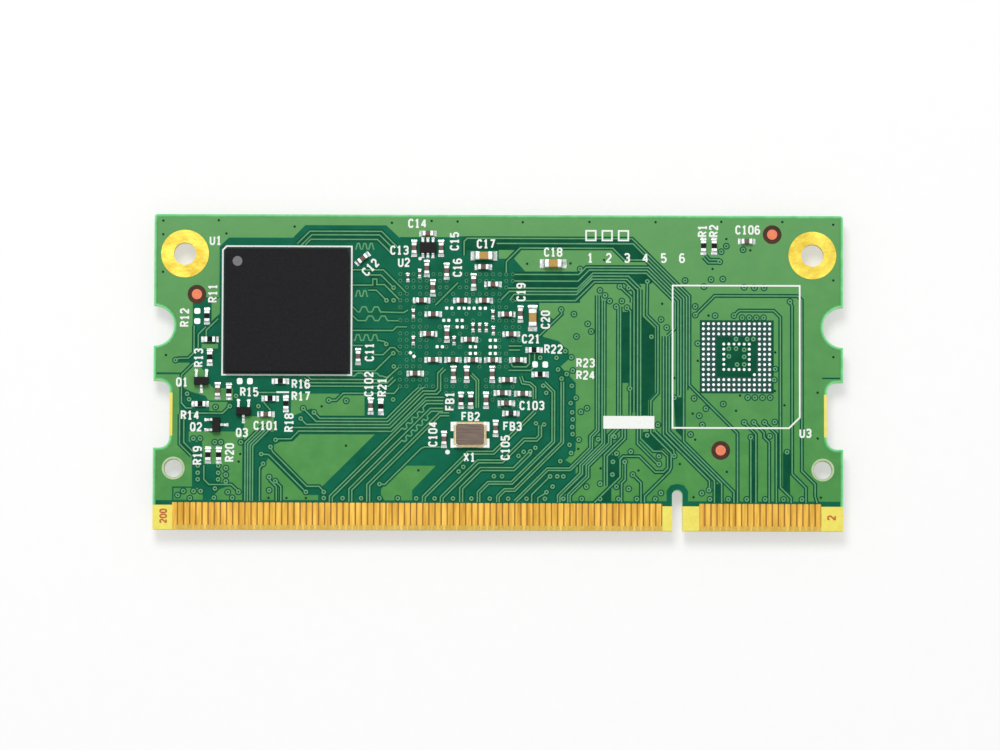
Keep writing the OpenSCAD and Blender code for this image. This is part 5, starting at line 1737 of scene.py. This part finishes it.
@dataclass
class Print:
    """Print on one face: closed outlines, open lines, spots, blank fields and designators."""

    side: Side
    labels: tuple[Label, ...]
    pins: tuple[Label, ...]
    frames: tuple[Points, ...]
    paths: tuple[Points, ...]
    spots: tuple[tuple[Point, float], ...]
    blanks: tuple[tuple[Point, Point], ...]
    stroke_w: float = 0.165
    frame_w: float = 0.16

    def build(self) -> None:
        """Lay the outlines, the designators and the pin numbers of this face."""
        tag, span = self.side.name.lower(), self.side.span(PRINT_RISE)
        solid = [border(np.array(frame), self.frame_w, span) for frame in self.frames]
        solid += [ribbon(np.array(path), self.frame_w, span) for path in self.paths]
        solid += [plate(box_path(low, high), span) for low, high in self.blanks]
        solid += [discs(np.array([place]), radius, span, SPOT_SIDES) for place, radius in self.spots]
        lay(f"printed_outlines_{tag}", solid, INK)
        lay(f"printed_designators_{tag}", self.strokes(self.labels), INK)
        lay(f"pin_numbers_{tag}", self.strokes(self.pins), PIN_INK)

    def strokes(self, labels: tuple[Label, ...]) -> list[Shell]:
        """Carry the pen along every stroke, with neighbours a step apart.

        Args:
            labels: The labels to write.

        Returns:
            One ribbon per stroke.
        """
        lines = [line for label in labels for line in label.lines(self.side is Side.LOWER)]
        return [
            ribbon(line, self.stroke_w, self.side.span(PRINT_RISE + rise))
            for line, rise in zip(lines, tiers(len(lines), FIELD_TIERS))
        ]


UPPER_FRAMES: tuple[Points, ...] = (
    ((-27.16, -0.4), (-14.34, -0.4), (-14.34, 12.43), (-26.74, 12.43), (-27.16, 12.01)),
    ((17.0, -5.48), (28.53, -5.48), (29.63, -4.38), (29.63, 8.68), (17.0, 8.68)),
    *(listed(box_path((x, 12.95), (x + 1.1, 14.05))) for x in (8.5, 10.1, 11.7)),
)

UPPER_PATHS: tuple[Points, ...] = (((-21.75, -2.02), (-20.5, -2.02)),)

UPPER_SPOTS: tuple[tuple[Point, float], ...] = (((-4.95, -7.85), 0.23), ((-7.72, 11.17), 0.17))

UPPER_BLANKS: tuple[tuple[Point, Point], ...] = (((10.3, -5.5), (15.3, -4.25)),)


# Small dressings


@dataclass
class Marks:
    """Dark openings round the copper marks, painted shade under and round the memory package, and
    the painted index of the memory package.
    """

    openings: Points = ((-29.6, 7.6), (26.85, 13.65), (21.8, -7.6))
    opening_r: float = 0.92
    shaded: tuple[Point, Point] = ((-27.1, -0.35), (-14.4, 12.35))
    grid: tuple[Point, Point] = ((19.87, -1.88), (26.83, 5.08))
    grid_band: float = 1.5
    index_at: Point = (-25.6, 10.8)
    index_r: float = 0.48
    index_foot: float = 0.03
    index_sunk: float = 0.012

    def build(self) -> None:
        """Lay the openings, the painted shade under the package, the band between the lands and the
        package's index.
        """
        span = Side.UPPER.span(BARE_RISE)
        dark = discs(np.array(self.openings), self.opening_r, span, RING_SIDES)
        lay("mark_surrounds", [dark], SURROUND)
        # Painted shade: a dark plate round the memory package's foot, standing in for its shadow.
        shade = plate(box_path(*self.shaded), Side.UPPER.span(SHADE_RISE))
        lay("painted_shadow_under_memory", [shade], PAINTED_PACKAGE_SHADOW)
        band = border(box_path(*self.grid), self.grid_band, Side.UPPER.span(GRID_RISE))
        lay("mask_between_lands", [band], GRID_SHADE)
        top = float(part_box("memory_moulding")[1][2]) / MM
        span = (top - self.index_foot, top - self.index_sunk)
        paint = discs(np.array([self.index_at]), self.index_r, span, RING_SIDES)
        lay("memory_index", [paint], INDEX_PAINT)


# The underside


LOWER_POURS: tuple[Points, ...] = (
    (
        (-33.5, 15.22), (33.5, 15.22), *LATCH_RIGHT, (33.5, -0.62), *RELIEF_RIGHT,
        (33.5, -7.78), (33.5, -12.6), (18.6, -12.6), (18.6, -11.6), (18.2, -11.05), (17.55, -10.9),
        (16.9, -11.05), (16.5, -11.6), (16.5, -12.6), (-33.5, -12.6), (-33.5, -7.78),
        *RELIEF_LEFT, (-33.5, -0.62), *LATCH_LEFT,
    ),
)

LOWER_FIELDS: tuple[Points, ...] = (
    ((-13.4, -6.9), (5.8, -6.9), (5.8, 12.3), (-13.4, 12.3)),
)

# A contact and the resistor that it feeds, by their X.
LOWER_FEEDS: tuple[tuple[float, float], ...] = (
    (-24.75, -24.8), (-22.35, -22.6), (-20.55, -20.4), (-18.15, -18.2), (-15.75, -16.0),
    (-13.95, -13.8),
)

LOWER_RUNS: tuple[Run | Meander, ...] = (
    *(Run(((foot, -12.7), (foot, -10.6), (x, -10.2), (x, -9.1))) for foot, x in LOWER_FEEDS),
    *(Run(((x, -7.9), (x, -7.6), (x + 0.45, -7.15))) for _, x in LOWER_FEEDS),
    Run(((-30.0, -12.7), (-30.0, -9.2), (-27.0, -6.2), (-15.0, -6.2), (-12.4, -3.6)), 4, 0.3),
    Run(((-10.2, -12.7), (-10.2, -10.2), (-6.5, -6.5)), 6, 0.3),
    Run(((-4.0, -12.7), (-4.0, -6.5)), 6, 0.3),
    Run(((3.0, -12.7), (3.0, -9.5), (0.4, -6.9)), 4, 0.3),
    Run(((9.0, -12.7), (9.0, -7.5), (5.2, -3.7)), 4, 0.3),
    Run(((14.0, -12.7), (14.0, -6.8), (8.6, -1.4), (5.6, -1.4)), 3, 0.3),
    Run(((21.5, -12.7), (21.5, -3.5), (23.5, -1.5), (23.5, 3.5)), 3, 0.3),
    Run(((24.45, -12.7), (24.45, -6.0), (25.45, -5.0), (25.45, -0.5)), 2, 0.3),
    Run(((27.45, -12.7), (27.45, 10.5), (24.75, 13.2), (7.4, 13.2), (4.9, 10.7)), 3, 0.3),
    Run(((30.45, -12.7), (30.45, -2.0), (29.0, -0.55), (29.0, 9.5)), 2, 0.3),
    Run((
        (-13.4, 9.0), (-16.5, 9.0), (-18.5, 11.0), (-25.5, 11.0), (-27.0, 9.5), (-27.0, 2.0),
    ), 3, 0.3),
    Run(((-13.0, 4.7), (-26.0, 4.7)), 4, 0.3),
)

LOWER_VIAS: Points = (
    *((x + 0.45, -7.15) for _, x in LOWER_FEEDS),
    (-27.0, 2.0), (-26.3, 2.4), (-26.4, 4.2), (-26.4, 5.2), (-24.0, 6.5), (-22.0, 8.2),
    (-18.0, 6.4), (23.5, 3.8), (22.9, 4.2), (24.1, 4.2), (25.3, -0.2), (25.9, 0.2), (28.85, 9.8),
    (29.4, 10.3), (10.0, 11.4), (12.0, 12.0), (15.5, 11.4), (20.0, 12.2), (25.6, 10.2),
    (30.6, 2.0), (31.2, -1.2), (17.5, -4.0), (18.6, -2.2), (11.6, -6.5), (-29.0, -3.0),
    (-28.0, -5.0), (-25.5, -1.0), (-21.0, -3.5), (-17.5, -4.6),
)

LOWER_FRAMES: tuple[Points, ...] = (
    ((-11.23, -4.73), (3.63, -4.73), (3.63, 10.13), (-11.23, 10.13)),
    ((12.05, 4.75), (15.55, 4.75), (15.55, 8.25), (12.05, 8.25)),
)

LOWER_SPOTS: tuple[tuple[Point, float], ...] = (((-11.65, 10.5), 0.2),)

LOWER_LABELS: tuple[Label, ...] = (
    Label("U4", (-12.3, 11.3)),
    Label("U5", (16.9, 6.5)),
    Label("L1", (9.0, 10.7)),
    Label("L2", (9.0, 2.9)),
    Label("R31", (-26.6, -8.5)),
    Label("C31", (-16.0, 6.7), 90),
    Label("C32", (16.4, 9.7)),
    Label("C33", (11.6, 1.3)),
    Label("C34", (16.4, 3.3)),
    Label("C35", (-16.0, 2.7), 90),
)


# The studio


@dataclass
class Studio:
    """Pale floor, soft light and a camera at the photograph's angle."""

    tilt: float = 4.5
    roll: float = 0.183
    distance: float = 578.2
    lens: float = 212.33
    target: tuple[float, float, float] = (0.165, -0.261, 2.2)
    sensor_w: float = 36.0
    clip: float = 0.01
    floor_w: float = 4.0
    floor_cells: int = 4
    floor_drop: float = 0.01
    ambient: float = 0.55
    key_power: float = 1.97
    key_size: float = 0.22
    key_at: tuple[float, float, float] = (-0.08, 0.3, 0.52)

    def floor(self) -> None:
        """Lay the floor as a grid of two parameters, flat and a hair under the card."""
        cells = self.floor_cells
        reach = np.linspace(-self.floor_w / 2, self.floor_w / 2, cells + 1)
        u, v = np.meshgrid(reach, reach)
        level = np.full(u.size, -self.floor_drop * MM)
        points = np.stack([u.ravel(), v.ravel(), level], axis=1)
        corner = (np.arange(cells)[:, None] * (cells + 1) + np.arange(cells)).ravel()
        quads = np.stack([corner, corner + 1, corner + cells + 2, corner + cells + 1], axis=1)
        mesh = bpy.data.meshes.new("floor")
        mesh.from_pydata(points.tolist(), [], quads.tolist())
        mesh.materials.append(FLOOR_PAPER.material())
        piece = bpy.data.objects.new("floor", mesh)
        bpy.context.scene.collection.objects.link(piece)

    def world(self) -> None:
        """Light evenly, and show white to the eye and in reflections."""
        world = bpy.data.worlds.new("studio")
        world.use_nodes = True
        graph = Graph(world.node_tree)
        backdrop = world.node_tree.nodes["Background"]
        backdrop.inputs["Color"].default_value = (1.0, 1.0, 1.0, 1.0)
        level = graph.spread(graph.seen(), FULL, (self.ambient, 1.0))
        graph.join(level, backdrop.inputs["Strength"])
        bpy.context.scene.world = world

    def key(self) -> None:
        """Hang one wide lamp beyond the far edge, aimed at the card."""
        lamp = bpy.data.lights.new("key", "AREA")
        lamp.energy = self.key_power
        lamp.size = self.key_size
        piece = bpy.data.objects.new("key", lamp)
        piece.location = self.key_at
        piece.rotation_euler = (-Vector(self.key_at)).to_track_quat("-Z", "Y").to_euler()
        bpy.context.scene.collection.objects.link(piece)

    def camera(self) -> None:
        """Look down on the card, leaning a little towards the contact edge."""
        lens = bpy.data.cameras.new("camera")
        lens.lens = self.lens
        lens.sensor_width = self.sensor_w
        lens.clip_start = self.clip
        piece = bpy.data.objects.new("camera", lens)
        tilt, roll = math.radians(self.tilt), math.radians(self.roll)
        away = Vector((0.0, -math.sin(tilt), math.cos(tilt)))
        place = (Vector(self.target) + away * self.distance) * MM
        turn = Matrix.Rotation(tilt, 4, "X") @ Matrix.Rotation(roll, 4, "Z")
        piece.matrix_world = Matrix.Translation(place) @ turn
        bpy.context.scene.collection.objects.link(piece)
        bpy.context.scene.camera = piece

    def build(self) -> None:
        """Set up the floor, the light and the camera."""
        self.floor()
        self.world()
        self.key()
        self.camera()
        bpy.context.scene.view_settings.view_transform = "Standard"


def main() -> None:
    """Dress the frame, lay every piece and set up the studio."""
    logging.basicConfig(level=logging.INFO, format="%(name)s: %(message)s")
    dress_frame()
    BoardEdge().build()
    rows = ContactVias().places()
    Conductors(
        Side.UPPER, UPPER_POURS, UPPER_FIELDS, UPPER_RUNS, np.vstack([np.array(UPPER_VIAS), rows]),
        ProcessorVias().places(), np.array(UPPER_DOTS),
    ).build()
    Conductors(
        Side.LOWER, LOWER_POURS, LOWER_FIELDS, LOWER_RUNS, np.array(LOWER_VIAS), rows,
        np.array(UPPER_DOTS),
    ).build()
    Print(
        Side.UPPER, UPPER_LABELS, UPPER_PINS, UPPER_FRAMES, UPPER_PATHS, UPPER_SPOTS, UPPER_BLANKS
    ).build()
    Print(Side.LOWER, LOWER_LABELS, LOWER_PINS, LOWER_FRAMES, (), LOWER_SPOTS, ()).build()
    Marks().build()
    Studio().build()
    LOG.info("the card is dressed")


if __name__ == "__main__":
    main()
